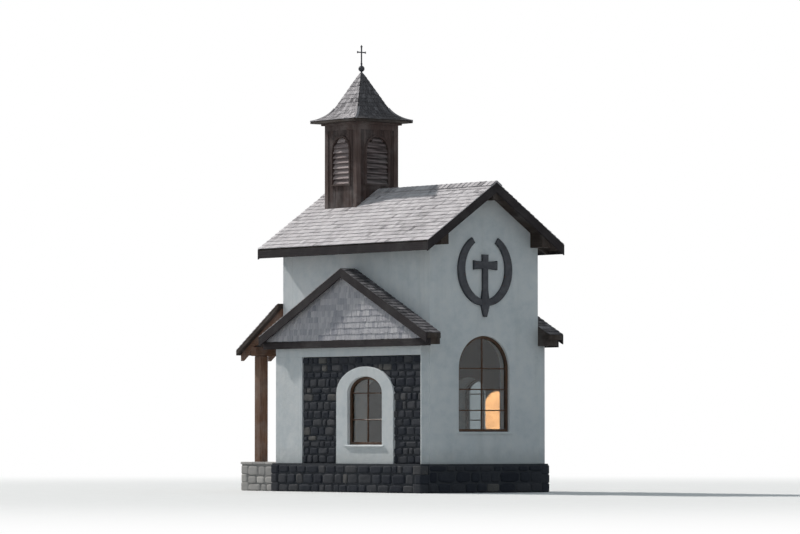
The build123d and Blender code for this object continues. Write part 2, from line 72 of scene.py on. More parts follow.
def highest(node):
    """The highest corner alone."""
    return low_high(node)[1]


wall_low, wall_high = low_high("front_wall")
plinth_low, plinth_high = low_high("plinth")
half_width, half_length, plinth_top = wall_high[0], -wall_low[1], wall_low[2]
wall_thickness = 0.35
main_angle = math.radians(34.5)
main_tangent = math.tan(main_angle)
ridge = highest("main_roof_left")[2]
cap_high = highest("ridge_cap")
eave_side = highest("eave_fascias")[0]
wing_high = highest("right_wing_roof")
verge_low, verge_high = low_high("right_verge_boards")
verge_depth = 0.200
wing_half, wing_apex = wing_high[1], wing_high[2]
wing_tangent = (wing_apex - verge_low[2] - verge_depth) / wing_half
wing_angle = math.atan(wing_tangent)
turret_low, turret_high = low_high("turret_frame")
turret_y = (turret_low[1] + turret_high[1]) / 2
print("ridge", round(ridge, 3), "wing pitch", round(math.degrees(wing_angle), 2))

# %% [markdown]
# ## Shapes from rings
#
# A shingle, a stone, a board and a bar have one thing in common: each is a short tube of rings, closed
# with a flat face on each end. They could be modelled by hand and copied by a modifier, but then
# all copies would be alike. Worked out with numpy, thousands of them take no longer than one, and each
# gets its own width, lift and tone. Two facts travel with each point for the materials:
# "tone", a random number of the shingle or stone, and "fibre", a place whose third number runs
# along the wood's fibres.

# %% Rings to closed tubes
def skin(rings, tone=0.5, fibre=None):
    """Closed tubes from rings of points.

    rings is (n, m, k, 3): n tubes, each of m rings with k points. Ring i is joined to ring i + 1 by
    quads, and a flat face closes each end.
    """
    rings = np.asarray(rings, float)
    n, m, k = rings.shape[:3]
    index = np.arange(n * m * k).reshape(n, m, k)
    near, far = index[:, :-1], index[:, 1:]
    quads = np.stack([near, np.roll(near, -1, axis=2), np.roll(far, -1, axis=2), far], axis=-1)
    faces = quads.reshape(-1, 4).tolist() + index[:, 0, ::-1].tolist() + index[:, -1].tolist()
    tones = np.repeat(np.broadcast_to(tone, n), m * k)
    fibres = rings if fibre is None else np.broadcast_to(fibre, rings.shape)
    return {"points": rings.reshape(-1, 3), "faces": faces, "tone": tones, "fibre": fibres.reshape(-1, 3)}


def join(shapes):
    """Several shapes as one: the faces of each are counted on from the points before it."""
    starts = np.cumsum([0] + [len(shape["points"]) for shape in shapes[:-1]])
    faces = [[i + start for i in face] for shape, start in zip(shapes, starts) for face in shape["faces"]]
    merged = {key: np.concatenate([shape[key] for shape in shapes]) for key in ("points", "tone", "fibre")}
    return {**merged, "faces": faces}


def unit(vectors):
    """Vectors scaled to length one."""
    return vectors / np.linalg.norm(vectors, axis=-1, keepdims=True)


def sweep(path, side, section, widths=1.0, tone=0.5):
    """A bar of one section, carried along a path that lies in a plane.

    side is the unit vector square to that plane, and across = tangent x side. A ring is
    path + side * (the section's first number) + across * (its second number) * width.
    """
    path, side, section = np.asarray(path, float), np.asarray(side, float), np.asarray(section, float)
    across = np.cross(unit(np.gradient(path, axis=0)), side)[:, None]
    widths = np.broadcast_to(widths, len(path))[:, None, None]
    rings = path[:, None] + side * section[None, :, :1] + across * section[None, :, 1:] * widths
    steps = np.linalg.norm(np.diff(path, axis=0), axis=1)
    along = np.concatenate([[0], np.cumsum(steps)])
    fibre = np.empty(rings.shape)
    fibre[..., 0], fibre[..., 1] = section[:, 0], section[:, 1] * widths[..., 0]
    fibre[..., 2] = along[:, None]
    return skin(rings[None], tone, fibre[None] + path[0])


def make_piece(name, shape, material, bevel=0.0, replaces=()):
    """Puts a shape into a mesh, turns its faces outwards and lets it ride on the chapel."""
    mesh = bpy.data.meshes.new(name)
    mesh.from_pydata(shape["points"].tolist(), [], shape["faces"])
    mesh.attributes.new("tone", "FLOAT", "POINT").data.foreach_set("value", shape["tone"])
    mesh.attributes.new("fibre", "FLOAT_VECTOR", "POINT").data.foreach_set("vector", shape["fibre"].ravel())
    shell = bmesh.new()
    shell.from_mesh(mesh)
    bmesh.ops.recalc_face_normals(shell, faces=shell.faces)
    shell.to_mesh(mesh)
    shell.free()
    mesh.shade_flat()
    mesh.materials.append(material)
    piece = bpy.data.objects.new(name, mesh)
    bpy.context.collection.objects.link(piece)
    if bevel:
        rounding = piece.modifiers.new("rounded edges", "BEVEL")
        rounding.width, rounding.segments, rounding.limit_method = bevel, 2, "ANGLE"
    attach(piece, "root")
    if replaces:
        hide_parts(*replaces)
    print(name, len(mesh.polygons), "faces")
    return piece


# %% [markdown]
# ## Shader groups
#
# Timber shows up as shingles, boards, posts and louvres, and rain, lichen and dust touch everything.
# Each of these effects could be copied into every material. As a node group it is built once and
# placed with its own values, and it puts out only masks and heights, so that the shader itself stays
# in the material.

# %% Small helpers for nodes
def add(tree, kind, inputs=(), **settings):
    """A node with its settings and inputs. An input that is a socket is linked, any other is a value."""
    node = tree.nodes.new(kind)
    for key, value in settings.items():
        setattr(node, key, value)
    for key, value in dict(inputs).items():
        if isinstance(value, bpy.types.NodeSocket):
            tree.links.new(value, node.inputs[key])
        else:
            node.inputs[key].default_value = value
    return node


def maths(tree, operation, a, b=0.0, c=0.0):
    """One Math node: its result for two or three values or sockets."""
    return add(tree, "ShaderNodeMath", {0: a, 1: b, 2: c}, operation=operation).outputs[0]


def remap(tree, value, low, high, start=0.0, stop=1.0):
    """A value from the range low..high taken smoothly to start..stop."""
    inputs = {"Value": value, "From Min": low, "From Max": high, "To Min": start, "To Max": stop}
    return add(tree, "ShaderNodeMapRange", inputs, interpolation_type="SMOOTHSTEP").outputs[0]


def noise(tree, vector, scale, detail=4.0, rough=0.55, distortion=0.0):
    """The value of a noise texture."""
    inputs = {"Vector": vector, "Scale": scale, "Detail": detail}
    inputs |= {"Roughness": rough, "Distortion": distortion}
    return add(tree, "ShaderNodeTexNoise", inputs).outputs[0]


def stretch(tree, vector, share):
    """A vector whose third number is cut to a share, so that a noise on it is drawn out that way."""
    factors = {0: vector, 1: (1.0, 1.0, share)}
    return add(tree, "ShaderNodeVectorMath", factors, operation="MULTIPLY").outputs[0]


def ramp(tree, value, *stops):
    """Colours along a value: each stop is (place, red, green, blue)."""
    node = add(tree, "ShaderNodeValToRGB", {0: value})
    band = node.color_ramp.elements
    for i, stop in enumerate(stops):
        element = band[i] if i < 2 else band.new(stop[0])
        element.position = stop[0]
    for element, stop in zip(sorted(band, key=lambda e: e.position), stops):
        element.color = (*stop[1:], 1.0)
    return node.outputs[0]


def blend(tree, share, first, second):
    """Two colours mixed by a share between 0 and 1. A colour is a socket or three numbers."""
    colours = [(*colour, 1.0) if isinstance(colour, tuple) else colour for colour in (first, second)]
    return add(tree, "ShaderNodeMix", {0: share, 6: colours[0], 7: colours[1]}, data_type="RGBA").outputs[2]


def split(tree, vector):
    """The three numbers of a vector."""
    return add(tree, "ShaderNodeSeparateXYZ", {0: vector}).outputs


def new_group(name, inputs, outputs):
    """An empty shader node group. Its inputs are numbers, given by name and value, or a vector where
    the value is None. Its outputs are numbers, given by name."""
    tree = bpy.data.node_groups.new(name, "ShaderNodeTree")
    for label, value in inputs.items():
        kind = "NodeSocketVector" if value is None else "NodeSocketFloat"
        socket = tree.interface.new_socket(label, in_out="INPUT", socket_type=kind)
        if value is not None:
            socket.default_value = value
    for label in outputs:
        tree.interface.new_socket(label, in_out="OUTPUT", socket_type="NodeSocketFloat")
    return tree, add(tree, "NodeGroupInput").outputs, add(tree, "NodeGroupOutput").inputs


def use(tree, group, inputs):
    """The outputs of a group placed in a material."""
    return add(tree, "ShaderNodeGroup", inputs, node_tree=group).outputs


# %% Timber fibres
def fibre_group():
    """Fibres along the third number of Vector, which is cut to a twentieth: fine streaks from one
    noise, and broader growth rings from a coarser noise and a distorted wave."""
    inputs = {"Vector": None, "Fineness": 60.0}
    tree, given, result = new_group("Timber fibres", inputs, ("Shade", "Height"))
    squeeze = stretch(tree, given[0], 0.05)
    fine = noise(tree, squeeze, given[1], 6.0, 0.6)
    coarse = noise(tree, squeeze, maths(tree, "MULTIPLY", given[1], 0.22), 3.0, 0.5, 0.6)
    wave = {"Vector": squeeze, "Scale": maths(tree, "MULTIPLY", given[1], 0.25)}
    wave |= {"Distortion": 5.0, "Detail": 2.0}
    rings = add(tree, "ShaderNodeTexWave", wave, bands_direction="DIAGONAL").outputs[1]
    broad = maths(tree, "MULTIPLY_ADD", rings, 0.35, maths(tree, "MULTIPLY", coarse, 0.65))
    shade = maths(tree, "MULTIPLY_ADD", fine, 0.45, maths(tree, "MULTIPLY", broad, 0.55))
    tree.links.new(shade, result[0])
    tree.links.new(maths(tree, "MULTIPLY_ADD", rings, 0.3, fine), result[1])
    return tree


fibres = fibre_group()


# %% Rain, dust and lichen
def weather_group():
    """Rain: a noise stretched downwards, so that it reads as streaks, kept where it passes a limit.
    Splash: dirt that fades out from Foot up to Foot + Reach, broken up by a second noise."""
    inputs = {"Vector": None, "Streaks": 3.0, "Foot": 0.62, "Reach": 0.5}
    tree, given, result = new_group("Rain and splash", inputs, ("Rain", "Splash"))
    streaks = noise(tree, stretch(tree, given[0], 0.12), given[1], 5.0, 0.6)
    tree.links.new(remap(tree, streaks, 0.50, 0.78), result[0])
    height = split(tree, given[0])[2]
    fade = maths(tree, "DIVIDE", maths(tree, "SUBTRACT", height, given[2]), given[3])
    edge = noise(tree, given[0], 4.0)
    ragged = maths(tree, "MULTIPLY_ADD", edge, 0.9, maths(tree, "SUBTRACT", fade, 0.45))
    tree.links.new(remap(tree, ragged, 0.0, 1.0, 1.0, 0.0), result[1])
    return tree


def lichen_group():
    """Lichen: round spots of a Voronoi texture, kept where a broad noise passes 1 - Cover."""
    tree, given, result = new_group("Lichen", {"Vector": None, "Scale": 9.0, "Cover": 0.4}, ("Mask",))
    cells = {"Vector": given[0], "Scale": given[1], "Randomness": 1.0}
    spots = add(tree, "ShaderNodeTexVoronoi", cells).outputs[0]
    patch = noise(tree, given[0], maths(tree, "MULTIPLY", given[1], 0.35), 6.0, 0.7)
    limit = maths(tree, "SUBTRACT", 1.0, given[2])
    near = remap(tree, spots, 0.20, 0.45, 1.0, 0.0)
    dense = remap(tree, maths(tree, "SUBTRACT", patch, limit), 0.0, 0.10)
    tree.links.new(maths(tree, "MULTIPLY", near, dense), result[0])
    return tree


def joint_group():
    """Board joints: Place is measured across the boards. The fraction of Place / Width is close to 0
    or 1 at a joint, and its whole number, through a white noise, is the board's own tone."""
    inputs = {"Place": 0.0, "Width": 0.14, "Gap": 0.006}
    tree, given, result = new_group("Board joints", inputs, ("Joint", "Tone"))
    boards = maths(tree, "DIVIDE", given[0], given[1])
    beside = maths(tree, "PINGPONG", boards, 0.5)
    share = maths(tree, "DIVIDE", given[2], given[1])
    tree.links.new(remap(tree, beside, 0.0, share, 1.0, 0.0), result[0])
    number = {"W": maths(tree, "FLOOR", boards)}
    own = add(tree, "ShaderNodeTexWhiteNoise", number, noise_dimensions="1D").outputs[0]
    tree.links.new(own, result[1])
    return tree


weather = weather_group()
lichen = lichen_group()
joints = joint_group()
print("groups:", [tree.name for tree in bpy.data.node_groups])

# %% [markdown]
# ## Materials
#
# The photograph shows white lime plaster, silver-grey larch shingles, near-black verge boards, dark
# rubble and brown timber. A flat colour would look like plastic, so each material mixes at least two
# scales of variation, and a bump from the same textures. What changes from shingle to shingle or
# stone to stone reads "tone", and wood on new pieces reads "fibre". All of them start with the same
# shader, and a bump turns a height into relief.

# %% The start of a material
def new_material(name, roughness=0.9, gloss=0.2):
    """A material with one Principled shader. Gives the material, its tree, the shader and the place.

    gloss is the specular level: weak on dusty stone, lime and weathered wood."""
    material = bpy.data.materials.new(name)
    material.use_nodes = True
    tree = material.node_tree
    tree.nodes.clear()
    shader = add(tree, "ShaderNodeBsdfPrincipled", {"Roughness": roughness, "Specular IOR Level": gloss})
    tree.links.new(shader.outputs[0], add(tree, "ShaderNodeOutputMaterial").inputs[0])
    return material, tree, shader, add(tree, "ShaderNodeTexCoord").outputs["Object"]


def attribute(tree, name):
    """The attribute node of a name: its Fac and Vector outputs are used."""
    return add(tree, "ShaderNodeAttribute", attribute_name=name).outputs


def relief(tree, shader, height, distance, strength=1.0):
    """Bump from a height of 0 to 1, distance in metres."""
    inputs = {"Height": height, "Distance": distance, "Strength": strength}
    tree.links.new(add(tree, "ShaderNodeBump", inputs).outputs[0], shader.inputs["Normal"])


# %% [markdown]
# ### Lime plaster
#
# Lime plaster is put on with a trowel and whitewashed, and the weather leaves it blotched, streaked
# and dirty above the plinth. A painted image could show that, but it would have to be unwrapped on
# every wall. Noise on the object's own coordinates runs round the corners without a seam, and the
# same material can turn into a dark brown-red where a point lies inside the room, which paints the
# room's shade.

# %% Lime plaster
def plaster_material():
    """White lime plaster outside, a brown-red wash inside, made dark to paint the shade of the dim room.

    The inside starts where |x| and |y| are both within the room's faces."""
    material, tree, shader, place = new_material("lime plaster", 0.92)
    broad = noise(tree, place, 0.9, 5.0, 0.6)
    patches = noise(tree, place, 4.5, 5.0, 0.65)
    mottle = maths(tree, "MULTIPLY_ADD", patches, 0.5, maths(tree, "MULTIPLY", broad, 0.5))
    lime = [(0.32, 0.66, 0.71, 0.73), (0.50, 0.78, 0.81, 0.82), (0.66, 0.85, 0.865, 0.86)]
    white = ramp(tree, mottle, *lime)
    marks = use(tree, weather, {"Vector": place, "Streaks": 2.6, "Foot": plinth_top, "Reach": 0.45})
    rained = blend(tree, maths(tree, "MULTIPLY", marks[0], 0.30), white, (0.52, 0.56, 0.55))
    splashed = blend(tree, maths(tree, "MULTIPLY", marks[1], 0.34), rained, (0.36, 0.37, 0.35))
    # Inside, the colour is a dark brown-red, made dark to paint the shade of the dim room.
    warm = ramp(tree, mottle, (0.30, 0.075, 0.045, 0.036), (0.70, 0.17, 0.11, 0.080))
    within = []
    for number, half in zip(split(tree, place), (half_width, half_length)):
        limit = half - wall_thickness + 0.02
        within.append(maths(tree, "LESS_THAN", maths(tree, "ABSOLUTE", number), limit))
    inside = maths(tree, "MULTIPLY", *within)
    tree.links.new(blend(tree, inside, splashed, warm), shader.inputs["Base Color"])
    sand = noise(tree, place, 160.0, 3.0, 0.7)
    trowel = noise(tree, place, 11.0, 3.0, 0.5)
    relief(tree, shader, maths(tree, "MULTIPLY_ADD", sand, 0.25, trowel), 0.010, 0.55)
    return material


plaster = plaster_material()


# %% [markdown]
# ### Stone
#
# Field stones differ in colour from one to the next, and lichen grows on all of them. A brick or
# Voronoi pattern could draw stones on a wall, but here each stone is a real block, so the material
# only picks a colour by its tone and breaks it up with a noise. Mortar, platform stone and floor
# tiles are the same material with colours, grain and lichen of their own.

# %% Stone
def stone_material(name, stops, grain=38.0, cover=0.35, spots=(0.30, 0.31, 0.27), depth=0.010):
    """Rough stone: the tone of each stone picks its colour, a noise breaks it up, lichen spots it."""
    material, tree, shader, place = new_material(name, 0.88)
    tone = attribute(tree, "tone")[2]
    grainy = noise(tree, place, grain, 8.0, 0.7)
    broad = noise(tree, place, 5.0, 4.0, 0.6)
    picked = maths(tree, "MULTIPLY_ADD", grainy, 0.40, maths(tree, "MULTIPLY_ADD", broad, 0.25, -0.2))
    colour = ramp(tree, maths(tree, "ADD", maths(tree, "MULTIPLY", tone, 0.75), picked), *stops)
    growth = use(tree, lichen, {"Vector": place, "Scale": 16.0, "Cover": cover})[0]
    overgrown = blend(tree, maths(tree, "MULTIPLY", growth, 0.7), colour, spots)
    tree.links.new(overgrown, shader.inputs["Base Color"])
    cleft = noise(tree, place, 9.0, 6.0, 0.6, 0.8)
    relief(tree, shader, maths(tree, "MULTIPLY_ADD", grainy, 0.35, cleft), depth, 0.8)
    return material


dark_stone = [(0.05, 0.011, 0.014, 0.022), (0.42, 0.032, 0.036, 0.046), (0.74, 0.070, 0.071, 0.077),
              (0.95, 0.15, 0.142, 0.132)]
sandy_lime = [(0.2, 0.050, 0.054, 0.062), (0.8, 0.115, 0.117, 0.124)]
pale_stone = [(0.05, 0.30, 0.29, 0.28), (0.45, 0.47, 0.45, 0.43), (0.9, 0.66, 0.63, 0.59)]
fired_clay = [(0.1, 0.26, 0.17, 0.12), (0.5, 0.42, 0.29, 0.21), (0.9, 0.55, 0.42, 0.31)]
rubble = stone_material("dark rubble", dark_stone)
mortar = stone_material("mortar", sandy_lime, 90.0, 0.25)
ashlar = stone_material("light platform stone", pale_stone, 55.0, 0.42, (0.36, 0.37, 0.31), 0.006)
tiles = stone_material("floor tiles", fired_clay, 70.0, 0.12, (0.30, 0.26, 0.22), 0.003)


# %% [markdown]
# ### Timber
#
# Wood looks like wood when its fibres run along the board. An image would have to be laid along each
# board by hand. Here a new piece carries the direction in "fibre", and on a piece of the frame, whose
# mesh has to stay as it is, a Mapping node turns the coordinates. Wide surfaces also show joints
# between their boards.

# %% Timber
def timber_material(name, stops, turn=None, fold=None, grey=0.3, roughness=0.75, boards=None):
    """Timber whose fibres run along "fibre" on new pieces, or along a turned object axis.

    turn is the rotation that takes the fibres' direction to Z, fold names the axis that is mirrored
    at 0 before it, and boards is (axis number, width) where a surface shows board joints.
    """
    material, tree, shader, place = new_material(name, roughness)
    if turn is None:
        along = attribute(tree, "fibre")[1]
        own = attribute(tree, "tone")[2]
    else:
        along = place
        if fold is not None:
            numbers = list(split(tree, place))
            numbers[fold] = maths(tree, "ABSOLUTE", numbers[fold])
            along = add(tree, "ShaderNodeCombineXYZ", dict(enumerate(numbers))).outputs[0]
        along = add(tree, "ShaderNodeMapping", {"Vector": along, "Rotation": turn}).outputs[0]
        own = noise(tree, place, 1.7, 1.0)
    grain = use(tree, fibres, {"Vector": along, "Fineness": 60.0})
    shade = maths(tree, "MULTIPLY_ADD", own, 0.55, maths(tree, "MULTIPLY_ADD", grain[0], 0.75, -0.15))
    height = grain[1]
    if boards:
        across = split(tree, along)[boards[0]]
        lines = use(tree, joints, {"Place": across, "Width": boards[1], "Gap": 0.005})
        shade = maths(tree, "ADD", shade, maths(tree, "MULTIPLY_ADD", lines[1], 0.3, -0.15))
        height = maths(tree, "MULTIPLY_ADD", lines[0], -3.0, height)
    colour = ramp(tree, shade, *stops)
    if boards:
        colour = blend(tree, maths(tree, "MULTIPLY", lines[0], 0.8), colour, (0.02, 0.016, 0.014))
    paleness = remap(tree, noise(tree, place, 2.3, 5.0, 0.6), 0.42, 0.72)
    pale = blend(tree, maths(tree, "MULTIPLY", paleness, grey), colour, (0.42, 0.40, 0.39))
    tree.links.new(pale, shader.inputs["Base Color"])
    relief(tree, shader, height, 0.0025, 0.8)
    return material


quarter = math.pi / 2
near_black = [(0.15, 0.008, 0.007, 0.009), (0.55, 0.022, 0.018, 0.020), (0.95, 0.060, 0.048, 0.046)]
dark_brown = [(0.15, 0.020, 0.015, 0.013), (0.5, 0.046, 0.034, 0.028), (0.9, 0.10, 0.077, 0.063)]
brown = [(0.15, 0.070, 0.034, 0.021), (0.5, 0.18, 0.098, 0.063), (0.9, 0.33, 0.21, 0.145)]
turret_brown = [(0.15, 0.024, 0.016, 0.015), (0.5, 0.066, 0.043, 0.038), (0.9, 0.15, 0.108, 0.098)]
post_brown = [(0.15, 0.045, 0.030, 0.027), (0.5, 0.115, 0.079, 0.070), (0.9, 0.23, 0.175, 0.16)]
silver = [(0.1, 0.27, 0.25, 0.255), (0.5, 0.49, 0.46, 0.465), (0.9, 0.68, 0.64, 0.645)]
weathered = [(0.15, 0.060, 0.046, 0.045), (0.3, 0.26, 0.205, 0.20), (0.5, 0.42, 0.34, 0.33),
             (0.9, 0.66, 0.57, 0.55)]
oiled = [(0.1, 0.030, 0.015, 0.009), (0.5, 0.080, 0.040, 0.022), (0.9, 0.16, 0.085, 0.045)]
boards_along_ridge = timber_material("fascia boards", near_black, (quarter, 0, 0), grey=0.06)
barge_timber = timber_material("barge boards", near_black, (0, -quarter - main_angle, 0), 0, grey=0.06)
verge_timber = timber_material("verge boards", near_black, (quarter + wing_angle, 0, 0), 1, grey=0.06)
soffit_timber = timber_material("soffit boards", dark_brown, (quarter, 0, 0), grey=0.15, boards=(0, 0.16))
roof_beams = timber_material("roof timbers", dark_brown, (quarter, 0, 0), grey=0.15)
beam_timber = timber_material("porch rafters", brown, (quarter, 0, 0), grey=0.2)
cross_timber = timber_material("timber across the nave", brown, (0, quarter, 0), grey=0.2)
post_timber = timber_material("upright timber", brown, (0, 0, 0), grey=0.2)
turret_posts = timber_material("turret posts", post_brown, (0, 0, 0), grey=0.25)
turret_planks = timber_material("turret planks", turret_brown, grey=0.18)
louvre_timber = timber_material("weathered louvres", weathered, grey=0.2)
ridge_timber = timber_material("ridge boards", silver, (quarter, 0, 0), grey=0.1)
tail_timber = timber_material("rafter tails", dark_brown, grey=0.15)
frame_timber = timber_material("window timber", oiled, (0, 0, 0), grey=0.1, roughness=0.45)
bar_timber = timber_material("window bar timber", oiled, grey=0.1, roughness=0.45)


# %% [markdown]
# ### Larch shingles
#
# Larch turns silver-grey in the sun and stays dark where it is damp. One grey all over would read as
# slate or tin, so the tone of each shingle picks from a ramp of greys, the fibres streak it, and moss
# and lichen darken it in patches. Slopes that face the sun also get paler tones and slopes turned
# from it darker ones: that part is painted light and shade.

# %% Larch shingles
def shingle_material(name, stops, cover, dark):
    """Weathered larch: silver-grey by tone and fibre, darker where moss and lichen hold."""
    material, tree, shader, place = new_material(name, 0.82)
    tone = attribute(tree, "tone")[2]
    grain = use(tree, fibres, {"Vector": attribute(tree, "fibre")[1], "Fineness": 85.0})
    broad = noise(tree, place, 0.8, 4.0, 0.6)
    shade = maths(tree, "MULTIPLY_ADD", grain[0], 0.55, maths(tree, "MULTIPLY_ADD", broad, 0.35, -0.28))
    colour = ramp(tree, maths(tree, "MULTIPLY_ADD", tone, 0.62, shade), *stops)
    growth = use(tree, lichen, {"Vector": place, "Scale": 11.0, "Cover": cover})[0]
    overgrown = blend(tree, maths(tree, "MULTIPLY", growth, 0.6), colour, dark)
    tree.links.new(overgrown, shader.inputs["Base Color"])
    relief(tree, shader, grain[1], 0.003, 0.9)
    return material


# The dark low end of the roof greys serves the slopes turned from the sun: painted shade.
roof_greys = [(0.12, 0.050, 0.048, 0.052), (0.34, 0.26, 0.245, 0.255), (0.58, 0.62, 0.585, 0.595),
              (0.90, 0.83, 0.795, 0.80)]
gable_greys = [(0.08, 0.17, 0.175, 0.215), (0.32, 0.37, 0.37, 0.415), (0.60, 0.62, 0.60, 0.625),
               (0.95, 0.82, 0.80, 0.80)]
roof_larch = shingle_material("roof shingles", roof_greys, 0.34, (0.19, 0.185, 0.16))
gable_larch = shingle_material("gable shingles", gable_greys, 0.38, (0.15, 0.155, 0.18))


# %% [markdown]
# ### Iron and glass
#
# The emblem and the finial are painted iron, and the panes are old glass that waves a little. Both are
# smooth, and a smooth finish is told by its reflections, so the roughness isn't one value: it
# follows the noise that also places the rust and the dust.

# %% Iron and glass
def iron_material():
    """Dark painted sheet iron with a little rust where the paint is thin."""
    material, tree, shader, place = new_material("dark iron", 0.5, 0.5)
    shader.inputs["Metallic"].default_value = 0.35
    worn = noise(tree, place, 14.0, 7.0, 0.65)
    paint = ramp(tree, noise(tree, place, 3.0), (0.3, 0.020, 0.024, 0.032), (0.7, 0.050, 0.055, 0.066))
    rust = blend(tree, remap(tree, worn, 0.60, 0.74, 0.0, 0.55), paint, (0.17, 0.075, 0.035))
    tree.links.new(rust, shader.inputs["Base Color"])
    tree.links.new(remap(tree, worn, 0.3, 0.7, 0.40, 0.72), shader.inputs["Roughness"])
    relief(tree, shader, noise(tree, place, 60.0, 4.0), 0.0015, 0.6)
    return material


def glass_material():
    """Old window glass: faintly wavy, a little dusty, and smoky dark, which partly paints the shade of the
    dim room behind it.
    """
    material, tree, shader, place = new_material("old window glass", 0.02, 0.5)
    shader.inputs["Transmission Weight"].default_value = 1.0
    shader.inputs["IOR"].default_value = 1.45
    dust = noise(tree, place, 6.0, 5.0, 0.6)
    # The glass is darkened: partly its own smoke, partly painted shade of the dim room behind it.
    smoke_and_room_shade = ramp(tree, dust, (0.3, 0.46, 0.50, 0.51), (0.8, 0.40, 0.44, 0.46))
    tree.links.new(smoke_and_room_shade, shader.inputs["Base Color"])
    tree.links.new(remap(tree, dust, 0.4, 0.8, 0.01, 0.10), shader.inputs["Roughness"])
    relief(tree, shader, noise(tree, place, 2.5, 2.0), 0.004, 0.25)
    return material


iron = iron_material()
glass = glass_material()
print(len(bpy.data.materials), "materials")

# %% [markdown]
# ## The pieces that stay
#
# Walls, beams and boards already have their true shape, so they stay and only get a finish. Real
# corners are never knife sharp: plaster is rounded by the trowel and timber by the plane. The mesh
# of a carried-over piece may not be touched, so a Weld and a Bevel modifier do it: the first joins
# the loose triangles, the second rounds every edge that is sharper than 40 degrees.

# %% Finishes and rounded edges
def both(*names):
    """The nodes that stand on the left and on the right side."""
    return [f"{side}_{name}" for name in names for side in ("left", "right")]


finishes = {
    plaster: ["front_wall", "back_wall_left", "back_wall_right", "back_wall_over",
              *both("wall", "pier", "lintel_band", "window_surround")],
    mortar: ["plinth", *both("rubble_panel")],
    ashlar: ["porch_platform", "entrance_steps"],
    tiles: ["nave_floor"],
    soffit_timber: ["main_roof_left", "main_roof_right", "porch_roof", "turret_spire",
                    *both("wing_roof", "pediment")],
    boards_along_ridge: ["eave_fascias", "wing_fascias"],
    ridge_timber: ["ridge_cap"],
    barge_timber: ["front_barge_boards", "back_barge_boards"],
    verge_timber: both("verge_boards"),
    roof_beams: ["roof_timbers"],
    beam_timber: ["porch_rafters"],
    cross_timber: ["porch_beam"],
    post_timber: ["porch_posts"],
    turret_posts: ["turret_frame", "turret_boards", "turret_cornice"],
    frame_timber: ["window_frames"],
    glass: ["window_glass"],
}
edge_radius = {plaster: 0.008, mortar: 0.010, ashlar: 0.015, beam_timber: 0.010, roof_beams: 0.010,
               cross_timber: 0.014, post_timber: 0.018, turret_posts: 0.006, boards_along_ridge: 0.004,
               barge_timber: 0.004, verge_timber: 0.004, frame_timber: 0.005}


def finish_node(node, material):
    """Gives a piece of the frame its material and, where it has one, its edge radius."""
    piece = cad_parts[node]
    piece.data.materials.clear()
    piece.data.materials.append(material)
    if material in edge_radius:
        weld = piece.modifiers.new("joined triangles", "WELD")
        weld.merge_threshold = 0.0001
        rounding = piece.modifiers.new("rounded edges", "BEVEL")
        rounding.width, rounding.segments = edge_radius[material], 2
        rounding.limit_method, rounding.angle_limit = "ANGLE", math.radians(40)


for material, nodes in finishes.items():
    for node in nodes:
        finish_node(node, material)
print(sum(len(nodes) for nodes in finishes.values()), "pieces of the frame finished")

# %% [markdown]
# ## Shingles
#
# The roofs carry split larch shingles in courses: each course lies on the head of the one below and
# shows only its lower part. They could be a bump pattern, but the stepped edge is what the eye
# reads from the side, so every shingle is a tapered block. One function lays all of them, because a
# slope, a gable and the bell-cast spire differ only in the surface: a function that takes p, the
# distance to the right, and q, the distance up the slope, to a point.

# %% Courses and shingles
def course_rows(edges, rise, exposure, width, seed):
    """Cuts each course into shingles: rows of (left, right, foot). edges(q) gives a course's two ends."""
    draw = np.random.default_rng(seed)
    rows = []
    for foot in np.arange(0.0, rise - 0.35 * exposure, exposure):
        left, right = edges(foot)
        count = max(1, round((right - left) / width))
        cuts = np.linspace(left, right, count + 1)
        cuts[1:-1] += draw.uniform(-0.24, 0.24, count - 1) * (right - left) / count
        rows.append(np.column_stack([cuts[:-1], cuts[1:], np.full(count, foot)]))
    return np.concatenate(rows)


def straight(half):
    """The two ends of a course on a slope that is as wide at every height."""
    return lambda q: (-half, half)


def lay_shingles(surface, rows, rise, exposure, seed, paleness, thickness=0.013, narrowing=None):
    """Tapered shingles on a surface.

    A corner is surface(p, q) + normal * height. At the foot the underside stands `lift` off the
    surface, and the thickness is added. At the head both fall to a few millimetres, so that the
    next course lies on it. narrowing(p, q, foot) gives p where the surface is narrower than at the
    course's foot.
    The mean tone of the slope comes after seed; where it differs from slope to slope it is painted light
    and shade, pale towards the sun.
    """
    draw = np.random.default_rng(seed)
    n = len(rows)
    length, lift, gap = 1.45 * exposure, 0.010, 0.003
    left, right, foot = rows[:, 0] + gap, rows[:, 1] - gap, rows[:, 2] + draw.uniform(-0.007, 0.007, n)
    foot = np.maximum(foot, 0.0)
    skew = draw.uniform(-0.004, 0.004, n)
    head = np.minimum(rows[:, 2] + length, rise)
    thick = thickness * draw.uniform(0.75, 1.25, n)
    p = np.stack([left, right, right, left], axis=1)
    q_foot = np.stack([foot, np.maximum(foot + skew, 0.0)], axis=1)[:, [0, 1, 1, 0]]
    q_head = np.repeat(head[:, None], 4, axis=1)
    q = np.stack([q_foot, q_head], axis=1)
    p = np.stack([p, p], axis=1)
    if narrowing is not None:
        p = narrowing(p, q, rows[:, 2][:, None, None])
    height = np.empty(q.shape)
    height[:, 0, :2], height[:, 0, 2:] = lift, lift + thick[:, None]
    height[:, 1, :2], height[:, 1, 2:] = 0.001, 0.004
    step = 1e-4
    run = surface(p + step, q) - surface(p - step, q)
    climb = surface(p, q + step) - surface(p, q - step)
    points = surface(p, q) + unit(np.cross(run, climb)) * height[..., None]
    fibre = np.stack([p + draw.uniform(0, 50, n)[:, None, None], height, q], axis=-1)
    tone = np.clip(draw.normal(paleness, 0.11, n) - 0.25 * (draw.random(n) < 0.05), 0, 1)
    return skin(points, tone, fibre)


